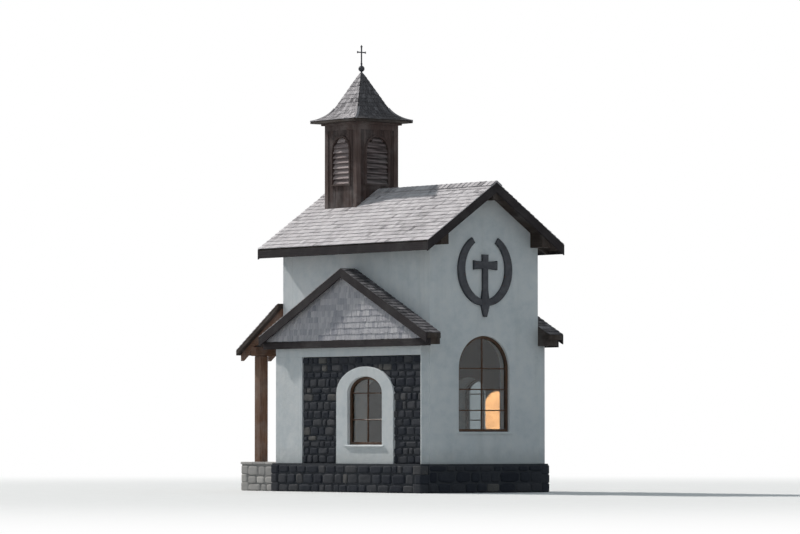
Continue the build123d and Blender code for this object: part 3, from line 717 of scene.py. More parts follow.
# %% Main roof shingles
main_exposure, shingle_width = 0.145, 0.125
eave_run = eave_side - 0.008
main_rise = (eave_run - 0.012) / math.cos(main_angle)
roof_stretch = cap_high[1] - 0.001
half_turret = (turret_high[0] - turret_low[0]) / 2


def main_surface(hand):
    """A main slope: q climbs from the eave to the ridge, p runs along the ridge."""

    def surface(p, q):
        run = eave_run - q * math.cos(main_angle)
        return np.stack([hand * run, hand * p, ridge - run * main_tangent], axis=-1)

    return surface


# The left slope's mean tone is higher than the right's: painted light on the slope that the sun reaches.
for hand, side, paleness in ((-1, "left", 0.72), (1, "right", 0.60)):
    rows = course_rows(straight(roof_stretch), main_rise, main_exposure, shingle_width, 11 + hand)
    middle_y = hand * (rows[:, 0] + rows[:, 1]) / 2
    run = eave_run - (rows[:, 2] + 0.5 * main_exposure) * math.cos(main_angle)
    under_turret = (abs(middle_y - turret_y) < half_turret - 0.04) & (run < half_turret - 0.06)
    rows = rows[~under_turret]
    shape = lay_shingles(main_surface(hand), rows, main_rise, main_exposure, 21 + hand, paleness)
    make_piece(f"main_shingles_{side}", shape, roof_larch)


# %% Ridge shingles
cap_side = cap_high[0] / math.cos(main_angle)
cap_exposure = 0.17


def ridge_surface(hand, start):
    """One side of the ridge cap: q runs along the ridge, p across the cap to the right of that way."""

    def surface(p, q):
        down = p if hand > 0 else cap_side - p
        z = cap_high[2] - down * math.sin(main_angle)
        return np.stack([hand * down * math.cos(main_angle), start + q, z], axis=-1)

    return surface


pieces = []
for start, stop in ((-roof_stretch, turret_low[1] - 0.01), (turret_high[1] + 0.01, roof_stretch)):
    for hand in (-1, 1):
        surface, rise = ridge_surface(hand, start), stop - start
        rows = course_rows(lambda q: (0.0, cap_side), rise, cap_exposure, cap_side, 26 + hand)
        pieces.append(lay_shingles(surface, rows, rise, cap_exposure, 28 + hand, 0.65, 0.010))
make_piece("ridge_shingles", join(pieces), roof_larch)


# %% Wing roof shingles
wing_span = verge_high[0] - half_width - 0.004
wing_length = (wing_half - 0.002) / math.cos(wing_angle)


def wing_surface(hand, end):
    """A slope of a wing roof, falling towards end * Y: p runs to the right as seen from that end."""

    def surface(p, q):
        run = wing_half - 0.002 - q * math.cos(wing_angle)
        x = hand * (half_width + 0.002 + wing_span / 2) - end * p
        return np.stack([x, end * run, wing_apex - run * wing_tangent], axis=-1)

    return surface


for hand, side in ((-1, "left"), (1, "right")):
    slopes = []
    # Slopes that fall to the front get a near-black mean tone and those that fall to the back a pale one:
    # painted shade and light from a sun behind.
    for end, paleness in ((-1, 0.05), (1, 0.68)):
        surface, seed = wing_surface(hand, end), 31 + 2 * hand + end
        rows = course_rows(straight(wing_span / 2), wing_length, main_exposure, 0.13, seed)
        slopes.append(lay_shingles(surface, rows, wing_length, main_exposure, seed + 10, paleness))
    make_piece(f"{side}_wing_shingles", join(slopes), roof_larch)


# %% Gable shingles
def gable_edges(q):
    """The two ends of a course on a wing gable: where its foot meets the underside of the roof."""
    reach = (gable_apex - fascia_top - q - 0.02) / wing_tangent
    return -min(reach, gable_half), min(reach, gable_half)


pediment_high = highest("right_pediment")
fascia_top = highest("wing_fascias")[2]
gable_half = pediment_high[1] - 0.003
gable_apex = pediment_high[2]
gable_rise = gable_apex - fascia_top - 0.03
gable_exposure = 0.13


def gable_surface(hand):
    """The upright face of a wing gable."""

    def surface(p, q):
        return np.stack([np.full(p.shape, hand * pediment_high[0]), hand * p, fascia_top + q], axis=-1)

    return surface


def under_the_verge(p, q, foot):
    """Keeps a shingle's head below the roof: p stays within the gable's half width at its height."""
    reach = (gable_apex - fascia_top - q + 0.03) / wing_tangent
    return np.clip(p, -reach, reach)


for hand, side in ((-1, "left"), (1, "right")):
    rows = course_rows(gable_edges, gable_rise, gable_exposure, 0.105, 51 + hand)
    surface = gable_surface(hand)
    shape = lay_shingles(surface, rows, gable_rise, gable_exposure, 61 + hand, 0.60, 0.010, under_the_verge)
    make_piece(f"{side}_gable_shingles", shape, gable_larch)


# %% Porch roof shingles
porch_low, porch_high = low_high("porch_roof")
porch_angle = math.radians(33)
porch_half = porch_high[0] - 0.002
porch_length = (porch_high[1] - porch_low[1] - 0.006) / math.cos(porch_angle)


def porch_surface(p, q):
    """The lean-to roof: q climbs from its eave to the back wall, p runs to the right as seen from +Y."""
    y = porch_high[1] - 0.004 - q * math.cos(porch_angle)
    return np.stack([-p, y, porch_high[2] - (y - porch_low[1]) * math.tan(porch_angle)], axis=-1)


rows = course_rows(straight(porch_half), porch_length, main_exposure, shingle_width, 71)
shape = lay_shingles(porch_surface, rows, porch_length, main_exposure, 72, 0.68)
make_piece("porch_shingles", shape, roof_larch)

# %% [markdown]
# ## The bell-cast spire
#
# The spire's four faces are steep above and flare out over the eave. The outline is an arc that runs
# into a straight line, so it is worked out once as a table of half width and height against the
# distance up the slope, and the same shingle function is laid on each face, turned by a quarter.
# Narrow hip strips cover the four seams, as on the real roof.

# %% Spire outline
spire_low, spire_high = low_high("turret_spire")
spire_foot, spire_top, eave_half = spire_low[2], spire_high[2], spire_high[0]
flare_half, flare_rise, spire_edge, tip_half = 0.420, 0.345, 0.045, 0.028


def bell_cast(count=40):
    """Half width and height from the eave to the tip.

    The arc starts at the knee along the steep line: point = knee + R sin(a) t + R (1 - cos(a)) n,
    with t down the steep line, n square to it, and R = chord / (2 sin(angle between chord and t)).
    """
    knee = np.array([flare_half, spire_foot + flare_rise])
    eave = np.array([eave_half, spire_foot + spire_edge])
    steep = unit(np.array([flare_half - tip_half, -(spire_top - spire_foot - flare_rise)]))
    chord = eave - knee
    outward = np.array([-steep[1], steep[0]])
    turn = math.atan2(chord @ outward, chord @ steep)
    radius = np.linalg.norm(chord) / (2 * math.sin(turn))
    a = np.linspace(2 * turn, 0, count)[:, None]
    arc = knee + radius * (np.sin(a) * steep + (1 - np.cos(a)) * outward)
    return np.vstack([arc, [[tip_half, spire_top]]])


outline = bell_cast()
climbed = np.concatenate([[0], np.cumsum(np.linalg.norm(np.diff(outline, axis=0), axis=1))])
spire_rise = climbed[-1]


def spire_half(q):
    """Half width of the spire at the distance q up its slope."""
    return np.interp(q, climbed, outline[:, 0])


def spire_ends(q):
    """The two ends of a course on a face of the spire."""
    return -spire_half(q), spire_half(q)


def spire_surface(quarter_turns):
    """A face of the spire: p to the right, q up the bell-cast outline, turned about the turret's axis."""
    angle = quarter_turns * math.pi / 2

    def surface(p, q):
        out = -spire_half(q)
        x = p * math.cos(angle) - out * math.sin(angle)
        y = p * math.sin(angle) + out * math.cos(angle)
        return np.stack([x, y + turret_y, np.interp(q, climbed, outline[:, 1])], axis=-1)

    return surface


def follow_hips(p, q, foot):
    """Shingles narrow with the face: p keeps its share of the half width."""
    return p * spire_half(q) / spire_half(foot)


spire_exposure, spire_shingle, spire_thickness = 0.105, 0.095, 0.008
faces = []
# The faces' mean tones are painted light and shade: darkest on the front, dark on the right, pale on the
# back and the left.
for turn, paleness in enumerate((-0.08, 0.25, 0.55, 0.42)):
    rows = course_rows(spire_ends, spire_rise, spire_exposure, spire_shingle, 81 + turn)
    face = lay_shingles(spire_surface(turn), rows, spire_rise, spire_exposure, 91 + turn, paleness,
                        spire_thickness, follow_hips)
    faces.append(face)
make_piece("spire_shingles", join(faces), roof_larch)

# %% Spire hips
hip_section = [(-0.042, 0.004), (0.0, 0.030), (0.042, 0.004),
               (0.042, -0.006), (0.0, 0.016), (-0.042, -0.006)]
hips = []
for sx, sy in ((-1, -1), (1, -1), (1, 1), (-1, 1)):
    path = np.column_stack([sx * outline[::2, 0], sy * outline[::2, 0] + turret_y, outline[::2, 1]])
    side = unit(np.array([sy, -sx, 0.0]))
    rising = np.cross(np.gradient(path, axis=0)[0], side)[2] > 0
    hips.append(sweep(path[:-1], side if rising else -side, hip_section, 1.0, 0.35))
make_piece("spire_hips", join(hips), roof_larch)

# %% [markdown]
# ## Rubble
#
# The wing panels and the plinth are walled with dark field stones in rough courses. A Voronoi bump
# would stay flat at the corners of the wall, so each stone is a squarish ring that narrows in three
# steps to a flat crown, like a stone dressed with a hammer. The frame's own panel stays behind them
# and is the mortar.

# %% Stones on a wall
def rubble_cells(width, height, course, stone, seed):
    """Courses of stones on a wall: rows of (centre along, centre up, half length, half height)."""
    draw = np.random.default_rng(seed)
    count = max(1, round(height / course))
    heights = draw.uniform(0.7, 1.3, count)
    levels = np.concatenate([[0], np.cumsum(heights / heights.sum() * height)])
    cells = []
    for foot, head in zip(levels[:-1], levels[1:]):
        number = max(1, round(width / stone))
        lengths = draw.uniform(0.5, 1.5, number)
        cuts = np.concatenate([[0], np.cumsum(lengths / lengths.sum() * width)])
        middle, half = (cuts[1:] + cuts[:-1]) / 2, np.diff(cuts) / 2
        level = np.full(number, (foot + head) / 2)
        cells.append(np.column_stack([middle, level, half, np.full(number, (head - foot) / 2)]))
    return np.concatenate(cells)


def lay_stones(cells, origin, along, up, depth, seed, joint=0.010, sides=12):
    """Stones in their cells.

    An outline point is half size * sign(cos) * |cos| ** 0.45, and the same with sin, which is a
    square with round corners, shaken by up to a tenth. Three more rings narrow it to the crown.
    """
    draw = np.random.default_rng(seed)
    n = len(cells)
    angle = np.linspace(0, 2 * math.pi, sides, endpoint=False) + math.pi / sides
    shape_u = np.sign(np.cos(angle)) * abs(np.cos(angle)) ** 0.45
    shape_v = np.sign(np.sin(angle)) * abs(np.sin(angle)) ** 0.45
    shake = draw.uniform(0.90, 1.02, (n, sides))
    u = (cells[:, 2:3] - joint) * shape_u * shake
    v = (cells[:, 3:4] - joint) * shape_v * draw.uniform(0.88, 1.02, (n, sides))
    crown = depth * draw.uniform(0.55, 1.0, n)
    tilt_u, tilt_v = draw.uniform(-0.12, 0.12, (2, n, 1))
    rings = []
    for share, level in ((1.0, -0.010), (0.97, 0.45), (0.80, 0.90), (0.45, 1.0)):
        out = np.full((n, sides), level)
        if level > 0:
            out = level * (crown[:, None] + depth * (tilt_u * shape_u + tilt_v * shape_v))
        centre_u, centre_v = cells[:, 0:1], cells[:, 1:2]
        rings.append(
            np.asarray(origin)
            + (centre_u + u * share)[..., None] * np.asarray(along)
            + (centre_v + v * share)[..., None] * np.asarray(up)
            + np.minimum(out, depth)[..., None] * np.cross(along, up)
        )
    return skin(np.stack(rings, axis=1), np.clip(draw.normal(0.45, 0.24, n), 0, 1))


# %% Rubble panels of the wings
panel_low, panel_high = low_high("right_rubble_panel")
surround_low, surround_high = low_high("right_window_surround")
surround_centre = (surround_low[1] + surround_high[1]) / 2
surround_spring, overlap = 2.145, 0.05
panel_size = panel_high - panel_low


def behind_surround(cells):
    """True for stones that the white surround hides: their middle is well inside its outline."""
    reach = (surround_high[1] - surround_low[1]) / 2 - overlap
    rise = surround_high[2] - surround_spring - overlap
    along = (panel_low[1] + cells[:, 0] - surround_centre) / reach
    above = np.maximum(panel_low[2] + cells[:, 1] - surround_spring, 0) / rise
    return along**2 + above**2 < 1


for hand, side in ((-1, "left"), (1, "right")):
    cells = rubble_cells(panel_size[1], panel_size[2], 0.165, 0.27, 101 + hand)
    cells = cells[~behind_surround(cells)] * [hand, 1, 1, 1]
    origin = (hand * panel_high[0], panel_low[1], panel_low[2])
    shape = lay_stones(cells, origin, (0, hand, 0), (0, 0, 1), 0.036, 111 + hand)
    make_piece(f"{side}_panel_stones", shape, rubble)

# %% [markdown]
# ## Plaster returns
#
# At the wing's front corner the plaster of the front wall comes round the stones' end. A thicker wall
# would hide the first stones, so it is a thin upright skin with rounded edges.

# %% Plaster returns at the wings' front ends
band_high = highest("right_lintel_band")
return_face, return_side, return_width = panel_low[1] - 0.012, band_high[0] + 0.006, 0.042
corner_x = np.array([half_width - 0.01, return_side, return_side, half_width - 0.01])
corner_y = return_face + np.array([0, 0, return_width, return_width])
returns = []
for hand in (-1, 1):
    corner = [hand * corner_x, corner_y]
    rings = [np.column_stack([*corner, np.full(4, z)]) for z in (panel_low[2], band_high[2])]
    returns.append(skin([rings]))
make_piece("wing_returns", join(returns), plaster, bevel=0.008)

# %% [markdown]
# ## Plinth, platform and steps
#
# The same stones wall the plinth all round, in larger blocks. Where two such walls met at an edge
# they would look like cladding, so corner stones that lie long and short in turn tie them together.
# The porch platform is a lighter stone: coursed blocks round its three free sides, and slabs laid on
# top of it and of each step. The nave's clay tiles are such slabs too, only smaller.

# %% Plinth stones
def lay_quoins(corners, height, count, size, depth, seed):
    """Corner stones in courses, their arms long and short in turn.

    A block spans from depth outside the corner to its arm's length inside. Its plan is the same
    square with round corners, sign(cos) * |cos| ** 0.3, and four rings soften its upper and lower edge.
    """
    draw = np.random.default_rng(seed)
    angle = np.linspace(0, 2 * math.pi, 16, endpoint=False) + math.pi / 16
    plan = np.column_stack([np.cos(angle), np.sin(angle)])
    plan = np.sign(plan) * abs(plan) ** 0.3
    course = height / count
    blocks = []
    for x, y, out_x, out_y in corners:
        for level in range(count):
            long_arm = np.array([1.15, 0.85]) if level % 2 else np.array([0.85, 1.15])
            half = (size * long_arm * draw.uniform(0.92, 1.08, 2) + depth) / 2
            centre = np.array([x, y]) + np.array([out_x, out_y]) * (depth - half)
            outline = plan * half * draw.uniform(0.97, 1.0, (16, 1))
            rings = []
            for z, share in ((0.005, 0.94), (0.022, 1.0), (course - 0.022, 1.0), (course - 0.005, 0.94)):
                ring = centre + outline * share
                rings.append(np.column_stack([ring, np.full(16, level * course + z)]))
            blocks.append(rings)
    return skin(blocks, np.clip(draw.normal(0.45, 0.24, len(blocks)), 0, 1))


front_half = half_width + 0.06
wing_front = plinth_low[1] + 0.03
quoin, plinth_courses = 0.24, plinth_high[2] - 0.03
side_length = plinth_high[1] - wing_front - 2 * quoin
walls = [
    ((-front_half, plinth_low[1], 0), (1, 0, 0), 2 * front_half),
    ((plinth_high[0], wing_front + quoin, 0), (0, 1, 0), side_length),
    ((plinth_low[0], plinth_high[1] - quoin, 0), (0, -1, 0), side_length),
    ((plinth_high[0] - quoin, plinth_high[1], 0), (-1, 0, 0), 2 * (plinth_high[0] - quoin)),
]
corners = [(hand * x, y, hand, out) for hand in (-1, 1)
           for x, y, out in ((plinth_high[0], wing_front, -1), (plinth_high[0], plinth_high[1], 1))]
shapes = [lay_quoins(corners, plinth_courses, 3, quoin, 0.030, 145)]
for number, (origin, along, length) in enumerate(walls):
    cells = rubble_cells(length, plinth_courses, 0.195, 0.34, 141 + number)
    shapes.append(lay_stones(cells, origin, along, (0, 0, 1), 0.030, 151 + number, 0.009))
make_piece("plinth_stones", join(shapes), rubble)

# %% Platform and step stones
deck_low, deck_high = low_high("porch_platform")
step_low, step_high = low_high("entrance_steps")
deck_courses, deck_side = deck_high[2] - 0.06, deck_high[1] - deck_low[1] - quoin
deck = [
    ((deck_high[0], deck_low[1], 0), (0, 1, 0), deck_side),
    ((deck_low[0], deck_high[1] - quoin, 0), (0, -1, 0), deck_side),
    ((deck_high[0] - quoin, deck_high[1], 0), (-1, 0, 0), 2 * (deck_high[0] - quoin)),
]
corners = [(hand * deck_high[0], deck_high[1], hand, 1) for hand in (-1, 1)]
shapes = [lay_quoins(corners, deck_courses, 3, quoin, 0.020, 165)]
for number, (origin, along, length) in enumerate(deck):
    cells = rubble_cells(length, deck_courses, 0.185, 0.40, 161 + number)
    shapes.append(lay_stones(cells, origin, along, (0, 0, 1), 0.022, 171 + number, 0.008))
make_piece("platform_stones", join(shapes), ashlar)


def slabs(x_cuts, y_cuts, bottom, top, seed, gap=0.006):
    """Paving slabs between two sets of cuts: four corners at the bottom and four at the top."""
    draw = np.random.default_rng(seed)
    x0, y0 = (grid.ravel() for grid in np.meshgrid(x_cuts[:-1], y_cuts[:-1]))
    x1, y1 = (grid.ravel() for grid in np.meshgrid(x_cuts[1:], y_cuts[1:]))
    x = np.stack([x0 + gap, x1 - gap, x1 - gap, x0 + gap], axis=1)
    y = np.stack([y0 + gap, y0 + gap, y1 - gap, y1 - gap], axis=1)
    height = top - draw.uniform(0, 0.003, len(x0))
    low = np.stack([x, y, np.full(x.shape, bottom)], axis=-1)
    high = np.stack([x, y, np.repeat(height[:, None], 4, axis=1)], axis=-1)
    return skin(np.stack([low, high], axis=1), draw.uniform(0.2, 0.9, len(x0)))


nosing, slab_foot = 0.025, 0.03
deck_x = np.linspace(deck_low[0] - nosing, deck_high[0] + nosing, 6)
deck_y = np.linspace(deck_low[1] + 0.01, deck_high[1] + nosing, 4)
paving = [slabs(deck_x, deck_y, deck_high[2] - slab_foot, deck_high[2] + 0.025, 181)]
step_count = 3
step_tread = (step_high[1] - step_low[1]) / step_count
step_x = np.linspace(step_low[0] - nosing, step_high[0] + nosing, 4)
riser = deck_high[2] / (step_count + 1)
for step in range(step_count):
    near_y = step_low[1] + step * step_tread
    far_y = min(near_y + step_tread + nosing, step_high[1])
    tread = deck_high[2] - (step + 1) * riser
    paving.append(slabs(step_x, np.array([near_y, far_y]), tread - slab_foot, tread + 0.022, 191 + step))
make_piece("paving_slabs", join(paving), ashlar, bevel=0.008)

# %% Floor tiles of the nave
floor_low, floor_high = low_high("nave_floor")
columns = np.linspace(floor_low[0], floor_high[0], 9)
lines = np.linspace(floor_low[1], half_length - wall_thickness, 17)
shape = slabs(columns, lines, floor_high[2] - 0.01, floor_high[2] + 0.008, 201, 0.003)
make_piece("nave_tiles", shape, tiles)

# %% [markdown]
# ## Turret planks, louvres and trims
#
# Each side of the turret is boarded with upright planks between the corner posts, and the planks are
# cut round an arched sound opening with sloping blades. A boolean would cut that arch out
# of a panel, but the planks would all share one mesh face. Here each plank is a strip of its own whose
# lower or upper edge follows the sill, the arch or the roof, so the joints are real gaps.

# %% Planks round an arch
louvre_low, louvre_high = low_high("turret_louvres")
opening_half = 0.300
opening_sill, opening_crown = louvre_low[2], louvre_high[2]
opening_spring = opening_crown - opening_half
boards_high = highest("turret_boards")
board_face, plank_top = boards_high[0], boards_high[2]
panel_half = 0.465
half_edges = np.array([0.1, 0.2, opening_half, 0.3825, panel_half])
plank_edges = np.concatenate([-half_edges[::-1], [0.0], half_edges])


def arch_height(a):
    """Height of the sound opening's round head at the distance a from its middle."""
    return opening_spring + np.sqrt(np.maximum(opening_half**2 - a**2, 0))


def strips(left, right, bottom, top, back, front, turn, seed):
    """Upright planks in the turret's side number turn: bottom(a) and top(a) are their end lines.

    A ring is a plank's upright section at one place across it, and six rings follow the end lines."""
    draw = np.random.default_rng(seed)
    share = np.linspace(0, 1, 6)
    a = (left + 0.002)[:, None] * (1 - share) + (right - 0.002)[:, None] * share
    face = front + draw.uniform(-0.002, 0.002, len(left))[:, None] * np.ones(a.shape)
    low, high = bottom(a), top(a)
    out = np.stack([np.full(a.shape, back), face, face, np.full(a.shape, back)], axis=-1)
    z = np.stack([low, low, high, high], axis=-1)
    a4 = np.repeat(a[..., None], 4, axis=-1)
    angle = turn * math.pi / 2
    x = a4 * math.cos(angle) + out * math.sin(angle)
    y = a4 * math.sin(angle) - out * math.cos(angle)
    points = np.stack([x, y + turret_y, z], axis=-1)
    fibre = np.stack([a4 + draw.uniform(0, 50, len(left))[:, None, None], out, z], axis=-1)
    return skin(points, draw.uniform(0.1, 0.9, len(left)), fibre)


def roof_line(turn):
    """The roof's height under a turret side: level on the left and right, a gable on the others."""
    if turn % 2:
        return lambda a: np.full(np.shape(a), ridge - board_face * main_tangent + 0.004)
    return lambda a: ridge - abs(a) * main_tangent + 0.004


def level(height):
    """An end line at one height."""
    return lambda a: np.full(np.shape(a), height)


shapes = []
edges = np.stack([plank_edges[:-1], plank_edges[1:]])
beside = abs(edges.mean(axis=0)) > opening_half
outer, inner = edges[:, beside], edges[:, ~beside]
back, face = board_face - 0.004, board_face + 0.014
for turn in range(4):
    foot = roof_line(turn)
    shapes.append(strips(*outer, foot, level(plank_top), back, face, turn, 211 + turn))
    shapes.append(strips(*inner, foot, level(opening_sill), back, face, turn, 221 + turn))
    shapes.append(strips(*inner, arch_height, level(plank_top), back, face, turn, 231 + turn))
make_piece("turret_planks", join(shapes), turret_planks)


# %% Louvre blades and arch trims
def turned(points, turn):
    """Points given as (across, outwards, up), put on the turret's side number turn."""
    angle = turn * math.pi / 2
    across, out, up = points[..., 0], points[..., 1], points[..., 2]
    x = across * math.cos(angle) + out * math.sin(angle)
    y = across * math.sin(angle) - out * math.cos(angle)
    return np.stack([x, y + turret_y, up], axis=-1)


def blades(turn, count=9):
    """Sloping blades: a blade's half length is the opening's half width at its own height,
    half = sqrt(r^2 - (z - spring)^2) above the springing."""
    pitch = (opening_crown - opening_sill) / count
    z = opening_sill + (np.arange(count) + 0.55) * pitch
    above = np.maximum(z + 0.02 - opening_spring, 0)
    half = np.sqrt(np.maximum(opening_half**2 - above**2, 0.03**2)) + 0.004
    drop, reach, thick = 0.55 * pitch, 0.075, 0.012
    section = np.array([(board_face + 0.012, -drop), (board_face + 0.012, -drop + thick),
                        (board_face + 0.012 - reach, drop + thick), (board_face + 0.012 - reach, drop)])
    rings = np.empty((count, 2, 4, 3))
    rings[..., 0] = np.stack([-half, half], axis=1)[..., None]
    rings[..., 1] = section[:, 0]
    rings[..., 2] = z[:, None, None] + section[:, 1]
    fibre = rings[..., [1, 2, 0]] + np.arange(count)[:, None, None, None] * 3.1 + turn
    # The blades' tone is scaled by their side, nil on the front and full on the left, so the front blades
    # are dark and the left ones pale: painted shade and light.
    tone = np.random.default_rng(241 + turn).uniform(0.2, 0.9, count) * (0.0, 0.6, 0.9, 1.0)[turn]
    return skin(turned(rings, turn), tone, fibre)


def arch_path(half, sill, spring, rise, count=24):
    """An opening's outline as (across, up): up one jamb, round the half ellipse, down the other."""
    angle = np.linspace(math.pi, 0, count)
    head = np.column_stack([half * np.cos(angle), spring + rise * np.sin(angle)])
    return np.vstack([[(-half, sill)], head, [(half, sill)]])


shape = join([blades(turn) for turn in range(4)])
make_piece("louvre_blades", shape, louvre_timber, replaces=("turret_louvres",))
trim_section = [(-0.006, -0.004), (0.020, -0.004), (0.026, 0.004),
                (0.026, 0.044), (0.020, 0.050), (-0.006, 0.050)]
sill_section = [(-0.006, -0.02), (0.034, -0.02), (0.030, 0.018), (-0.006, 0.022)]
trim_face, trim_sill = board_face + 0.008, opening_sill - 0.02
flat = arch_path(opening_half, opening_sill, opening_spring, opening_half)
arch = np.column_stack([flat[:, 0], np.full(len(flat), trim_face), flat[:, 1]])
sill = np.array([[-0.36, trim_face, trim_sill], [0.36, trim_face, trim_sill]])
trims = []
for turn in range(4):
    outward = turned(np.array([0.0, 1.0, 0.0]), turn) - np.array([0, turret_y, 0])
    trims.append(sweep(turned(arch, turn), outward, trim_section, -1.0, 0.5))
    trims.append(sweep(turned(sill, turn), outward, sill_section, -1.0, 0.4))
make_piece("turret_trims", join(trims), turret_planks)

# %% [markdown]
# ## Emblem and finial
#
# The emblem on the gable is cut from dark sheet iron: two curved arms that are thick in the
# middle and narrow at the open top, round a cross on a stem. An extruded outline would give that
# shape, but a sweep gives the bars their chamfered edges as well, so each arm is a bar along a part of
# an ellipse with a width that changes on the way. The finial's rod and ball are one turned profile.

# %% Emblem
emblem_low, emblem_high = low_high("emblem")
emblem_back, emblem_foot = emblem_high[1], emblem_low[2]
spike_length, ring_half_height = 0.205, 0.82
ring_centre = emblem_foot + spike_length + ring_half_height
front = np.array([0.0, -1.0, 0.0])


def bar(points, widths, height):
    """A flat iron bar in the gable's plane along (x, z) points, standing `height` off the wall."""
    points = np.asarray(points, float)
    path = np.column_stack([points[:, 0], np.full(len(points), emblem_back), points[:, 1]])
    rim = height - 0.012
    section = [(0, -0.5), (rim, -0.5), (height, -0.42), (height, 0.42), (rim, 0.5), (0, 0.5)]
    return sweep(path, front, section, widths)


turn_by = np.radians(np.linspace(-88, 60, 40))
swell = np.sin(np.linspace(0.12, 1, 40) * math.pi * 0.86)
arms = [bar(np.column_stack([hand * 0.65 * np.cos(turn_by), ring_centre + 0.72 * np.sin(turn_by)]),
            0.10 + 0.10 * swell, 0.052) for hand in (-1, 1)]
stem_foot = emblem_foot + np.array([0.0, 0.10, 0.26, 0.42, 0.60])
stem_z = np.concatenate([stem_foot, [ring_centre, ring_centre + 0.32]])
stem = bar(np.column_stack([np.zeros(7), stem_z]), [0.075, 0.15, 0.235, 0.205, 0.15, 0.15, 0.17], 0.056)
cross_x = [-0.32, -0.28, -0.13, 0.13, 0.28, 0.32]
cross_path = np.column_stack([cross_x, np.full(6, ring_centre + 0.09)])
cross = bar(cross_path, [0.205, 0.19, 0.16, 0.16, 0.19, 0.205], 0.060)
make_piece("gable_emblem", join(arms + [stem, cross]), iron, replaces=("emblem",))

# %% Finial
finial_low, finial_high = low_high("turret_finial")


def revolve(profile, sides=20):
    """A turned piece: each (radius, height) of the profile becomes a circle round the turret's axis."""
    profile = np.asarray(profile, float)
    angle = np.linspace(0, 2 * math.pi, sides, endpoint=False)
    rings = np.empty((1, len(profile), sides, 3))
    rings[0, :, :, 0] = profile[:, :1] * np.cos(angle)
    rings[0, :, :, 1] = profile[:, :1] * np.sin(angle) + turret_y
    rings[0, :, :, 2] = profile[:, 1:]
    return skin(rings)


foot = finial_low[2]
ball = np.linspace(-1.30, 1.30, 13)
ball_profile = np.column_stack([0.070 * np.cos(ball), foot + 0.106 + 0.070 * np.sin(ball)])
rod = [(0.050, foot - 0.05), (0.042, foot), (0.022, foot + 0.022), *ball_profile, (0.018, foot + 0.20),
       (0.026, foot + 0.215), (0.017, foot + 0.235), (0.013, foot + 0.45), (0.013, finial_high[2] - 0.02),
       (0.004, finial_high[2])]
arm_z = finial_high[2] - 0.168
arm_section = [(-0.010, -0.5), (0.010, -0.5), (0.012, 0.0), (0.010, 0.5), (-0.010, 0.5), (-0.012, 0.0)]
arm_path = [(x, turret_y, arm_z) for x in (-0.118, -0.09, 0.0, 0.09, 0.118)]
arm = sweep(arm_path, front, arm_section, [0.052, 0.026, 0.024, 0.026, 0.052])
upright_path = [(0.0, turret_y, arm_z + z) for z in (-0.14, 0.0, 0.10, 0.14)]
upright = sweep(upright_path, front, arm_section, [0.024, 0.024, 0.026, 0.052])
make_piece("finial", join([revolve(rod), arm, upright]), iron, replaces=("turret_finial",))

# %% [markdown]
# ## Windows
#
# The frames are there already. Slim glazing bars run through the panes, and a sill under each window
# throws the rain off the wall. Lines drawn on the glass would look flat from the side, so a bar is a
# section swept along its way, and so is a sill. The wing surrounds are plaster, and their sills are
# plastered as well.

# %% Glazing bars and sills
gable_half_window, gable_sill, gable_spring = 0.70, 1.31, 2.67
wing_half_window, wing_sill, wing_rise = 0.61, 1.03, 0.36
frame_width, upright_width, cross_width = 0.05, 0.034, 0.026
bar_section = [(-0.018, -0.5), (0.012, -0.5), (0.018, -0.25), (0.018, 0.25), (0.012, 0.5), (-0.018, 0.5)]
glass_low, glass_high = low_high("window_glass")
gable_pane_y, wing_pane_x = glass_low[1] + 0.004, glass_high[0] - 0.004


def gable_bar(start, stop, width):
    """A glazing bar of the gable window between two (x, z) points."""
    path = [(start[0], gable_pane_y, start[1]), (stop[0], gable_pane_y, stop[1])]
    return sweep(path, front, bar_section, width)


def wing_bar(hand, start, stop, width):
    """A glazing bar of a wing window between two (y, z) points."""
    path = [(hand * wing_pane_x, start[0], start[1]), (hand * wing_pane_x, stop[0], stop[1])]
    return sweep(path, (hand, 0, 0), bar_section, width)


crown = gable_spring + gable_half_window
bars = [gable_bar((0, gable_sill + frame_width), (0, crown - frame_width), upright_width)]
reach = gable_half_window - frame_width
for height in (gable_sill + 0.46, gable_sill + 0.91, gable_spring):
    bars.append(gable_bar((-reach, height), (reach, height), cross_width))
middle, crown = surround_centre, surround_spring + wing_rise
start, stop = middle - wing_half_window + frame_width, middle + wing_half_window - frame_width
for hand in (-1, 1):
    low_end, high_end = (middle, wing_sill + frame_width), (middle, crown - frame_width)
    bars.append(wing_bar(hand, low_end, high_end, upright_width))
    for height in (wing_sill + 0.54, surround_spring):
        bars.append(wing_bar(hand, (start, height), (stop, height), cross_width))
make_piece("window_bars", join(bars), bar_timber)

sill_profile = [(-0.10, -0.030), (0.030, -0.030), (0.036, -0.022),
                (0.036, 0.000), (0.030, 0.006), (-0.10, 0.026)]
path = [(x, -half_length, gable_sill - 0.02) for x in (-0.76, 0.76)]
sills = [sweep(path, front, sill_profile, -1.0)]
for hand in (-1, 1):
    path = [(hand * surround_high[0], middle + y, wing_sill - 0.02) for y in (-0.68, 0.68)]
    sills.append(sweep(path, (hand, 0, 0), sill_profile, -hand * 1.0))
make_piece("window_sills", join(sills), plaster, bevel=0.004)

# %% [markdown]
# ## Rafter tails
#
# Seen from below, the main eave is carried by short rafter tails between the wall and the fascia.
# The frame's roof is one slab, so the tails are added here, each a block that tapers to the fascia.

# %% Rafter tails under the main eave
tail_places = np.linspace(-half_length + 0.12, half_length - 0.12, 9)
tail_half, tail_start, tail_end = 0.035, half_width - 0.01, eave_side - 0.03
slab_low = low_high("main_roof_left")[0]


def under_roof(x):
    """Height of the main roof's underside at |x|, from its lowest edge and its pitch."""
    return slab_low[2] + (abs(slab_low[0]) - abs(x)) * main_tangent


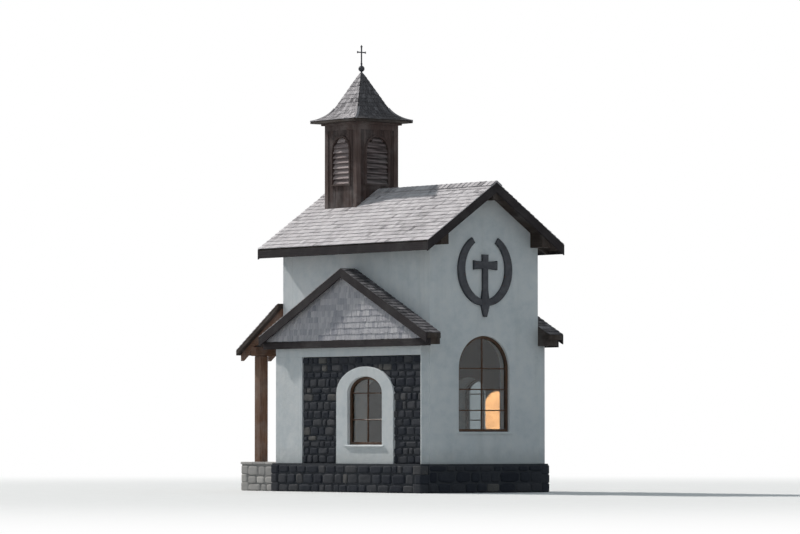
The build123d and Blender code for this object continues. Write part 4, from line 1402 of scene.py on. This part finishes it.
tails = []
for hand in (-1, 1):
    rings = np.empty((len(tail_places), 2, 4, 3))
    rings[:, 0, :, 0], rings[:, 1, :, 0] = hand * tail_start, hand * tail_end
    rings[..., 1] = tail_places[:, None, None] + np.array([-1, 1, 1, -1]) * tail_half
    rings[:, 0, :, 2] = under_roof(tail_start) + np.array([-0.12, -0.12, 0.002, 0.002])
    rings[:, 1, :, 2] = under_roof(tail_end) + np.array([-0.055, -0.055, 0.002, 0.002])
    tone = np.random.default_rng(251 + hand).uniform(0.2, 0.8, len(tail_places))
    tails.append(skin(rings, tone, rings[..., [1, 2, 0]] + tone[:, None, None, None] * 20))
make_piece("rafter_tails", join(tails), tail_timber, bevel=0.004)

# %% [markdown]
# ## Floor, light and camera
#
# The chapel stands on a plain pale floor. A white studio could be made with strong lamps, but that
# would wash out the plaster, so the white is only what the camera, the reflections and the panes show.
# The light itself comes from a soft bluish sky, a sun from behind that grazes the left side, as in the
# photograph, and a very weak one from the front. A warm spot in the nave lays the patch of sun on its
# far wall.

# %% Floor and sky
def seen_directly(tree):
    """1 for rays from the camera, in reflections and through a window pane, otherwise 0."""
    rays = add(tree, "ShaderNodeLightPath").outputs
    mirrored = maths(tree, "MAXIMUM", rays["Is Glossy Ray"], rays["Is Transmission Ray"])
    return maths(tree, "MAXIMUM", rays["Is Camera Ray"], mirrored)


def sky(strength):
    """A world that is white to the camera and in reflections, and a soft sky to the chapel."""
    world = bpy.data.worlds.new("studio sky")
    world.use_nodes = True
    tree = world.node_tree
    tree.nodes.clear()
    soft = add(tree, "ShaderNodeBackground", {"Color": (0.78, 0.91, 1.0, 1.0), "Strength": strength})
    white = add(tree, "ShaderNodeBackground", {"Color": (1.0, 1.0, 1.0, 1.0), "Strength": 1.0})
    shown = {0: seen_directly(tree), 1: soft.outputs[0], 2: white.outputs[0]}
    mixed = add(tree, "ShaderNodeMixShader", shown)
    tree.links.new(mixed.outputs[0], add(tree, "ShaderNodeOutputWorld").inputs[0])
    bpy.context.scene.world = world


def floor_material():
    """A pale floor that turns into the white of the background 14 to 45 m from the chapel.

    To the camera and in reflections it is pale. The light that it throws back on the walls is that
    of a duller ground, so that the shaded sides keep their shade."""
    material, tree, shader, place = new_material("studio floor", 0.8)
    speckle = noise(tree, place, 2.0, 4.0)
    pale = ramp(tree, speckle, (0.3, 0.84, 0.84, 0.83), (0.7, 0.88, 0.88, 0.87))
    seen = blend(tree, seen_directly(tree), (0.40, 0.41, 0.41), pale)
    tree.links.new(seen, shader.inputs["Base Color"])
    distance = add(tree, "ShaderNodeVectorMath", {0: place}, operation="LENGTH").outputs["Value"]
    far = maths(tree, "MULTIPLY", remap(tree, distance, 14.0, 45.0), seen_directly(tree))
    white = add(tree, "ShaderNodeEmission", {"Color": (1.0, 1.0, 1.0, 1.0), "Strength": 1.0})
    mixed = add(tree, "ShaderNodeMixShader", {0: far, 1: shader.outputs[0], 2: white.outputs[0]})
    tree.links.new(mixed.outputs[0], tree.nodes["Material Output"].inputs[0])
    return material


sky(0.31)
floor_half = 600.0
floor_mesh = bpy.data.meshes.new("studio_floor")
floor_corners = [(x * floor_half, y * floor_half, 0) for x, y in ((-1, -1), (1, -1), (1, 1), (-1, 1))]
floor_mesh.from_pydata(floor_corners, [], [(0, 1, 2, 3)])
floor_mesh.materials.append(floor_material())
floor = bpy.data.objects.new("studio_floor", floor_mesh)
bpy.context.collection.objects.link(floor)


# %% Lamps
def set_up(name, data, location, direction, axis):
    """Puts a lamp or a camera in its place and turns one of its axes along a direction."""
    holder = bpy.data.objects.new(name, data)
    bpy.context.collection.objects.link(holder)
    holder.location = location
    holder.rotation_mode = "QUATERNION"
    holder.rotation_quaternion = Vector(direction).to_track_quat(axis, "Y")
    return holder


def sun(name, direction, strength, spread, colour):
    """A sun that shines from a direction, with a disc as wide as spread degrees."""
    lamp = bpy.data.lights.new(name, "SUN")
    lamp.energy, lamp.angle, lamp.color = strength, math.radians(spread), colour
    set_up(name, lamp, (0, 0, 0), direction, "Z")


sun("key", (-0.15, 0.78, 0.61), 3.15, 2.0, (1.0, 0.965, 0.93))
sun("fill", (-0.40, -0.70, 0.59), 0.06, 40.0, (0.96, 0.98, 1.0))
lamp = bpy.data.lights.new("patch of sun", "SPOT")
lamp.energy, lamp.color, lamp.shadow_soft_size = 3400.0, (1.0, 0.74, 0.38), 0.02
lamp.spot_size, lamp.spot_blend = math.radians(27), 0.15
set_up("patch of sun", lamp, (-0.90, -1.75, 2.1), (2.05, 0.12, -0.38), "-Z")

# %% Camera
azimuth, distance, eye_level, lens = math.radians(-38), 100.0, 1.2, 205.0
aim = Vector((-0.158, 0.123, 4.93))
eye = Vector((aim.x + distance * math.sin(azimuth), aim.y - distance * math.cos(azimuth), eye_level))
camera_data = bpy.data.cameras.new("camera")
camera_data.lens, camera_data.sensor_width = lens, 36.0
camera_data.clip_end = 2000.0
camera = set_up("camera", camera_data, eye, aim - eye, "-Z")
bpy.context.scene.camera = camera
bpy.context.scene.view_settings.view_transform = "Standard"
print("camera", [round(v, 2) for v in camera.location], "lens", lens)
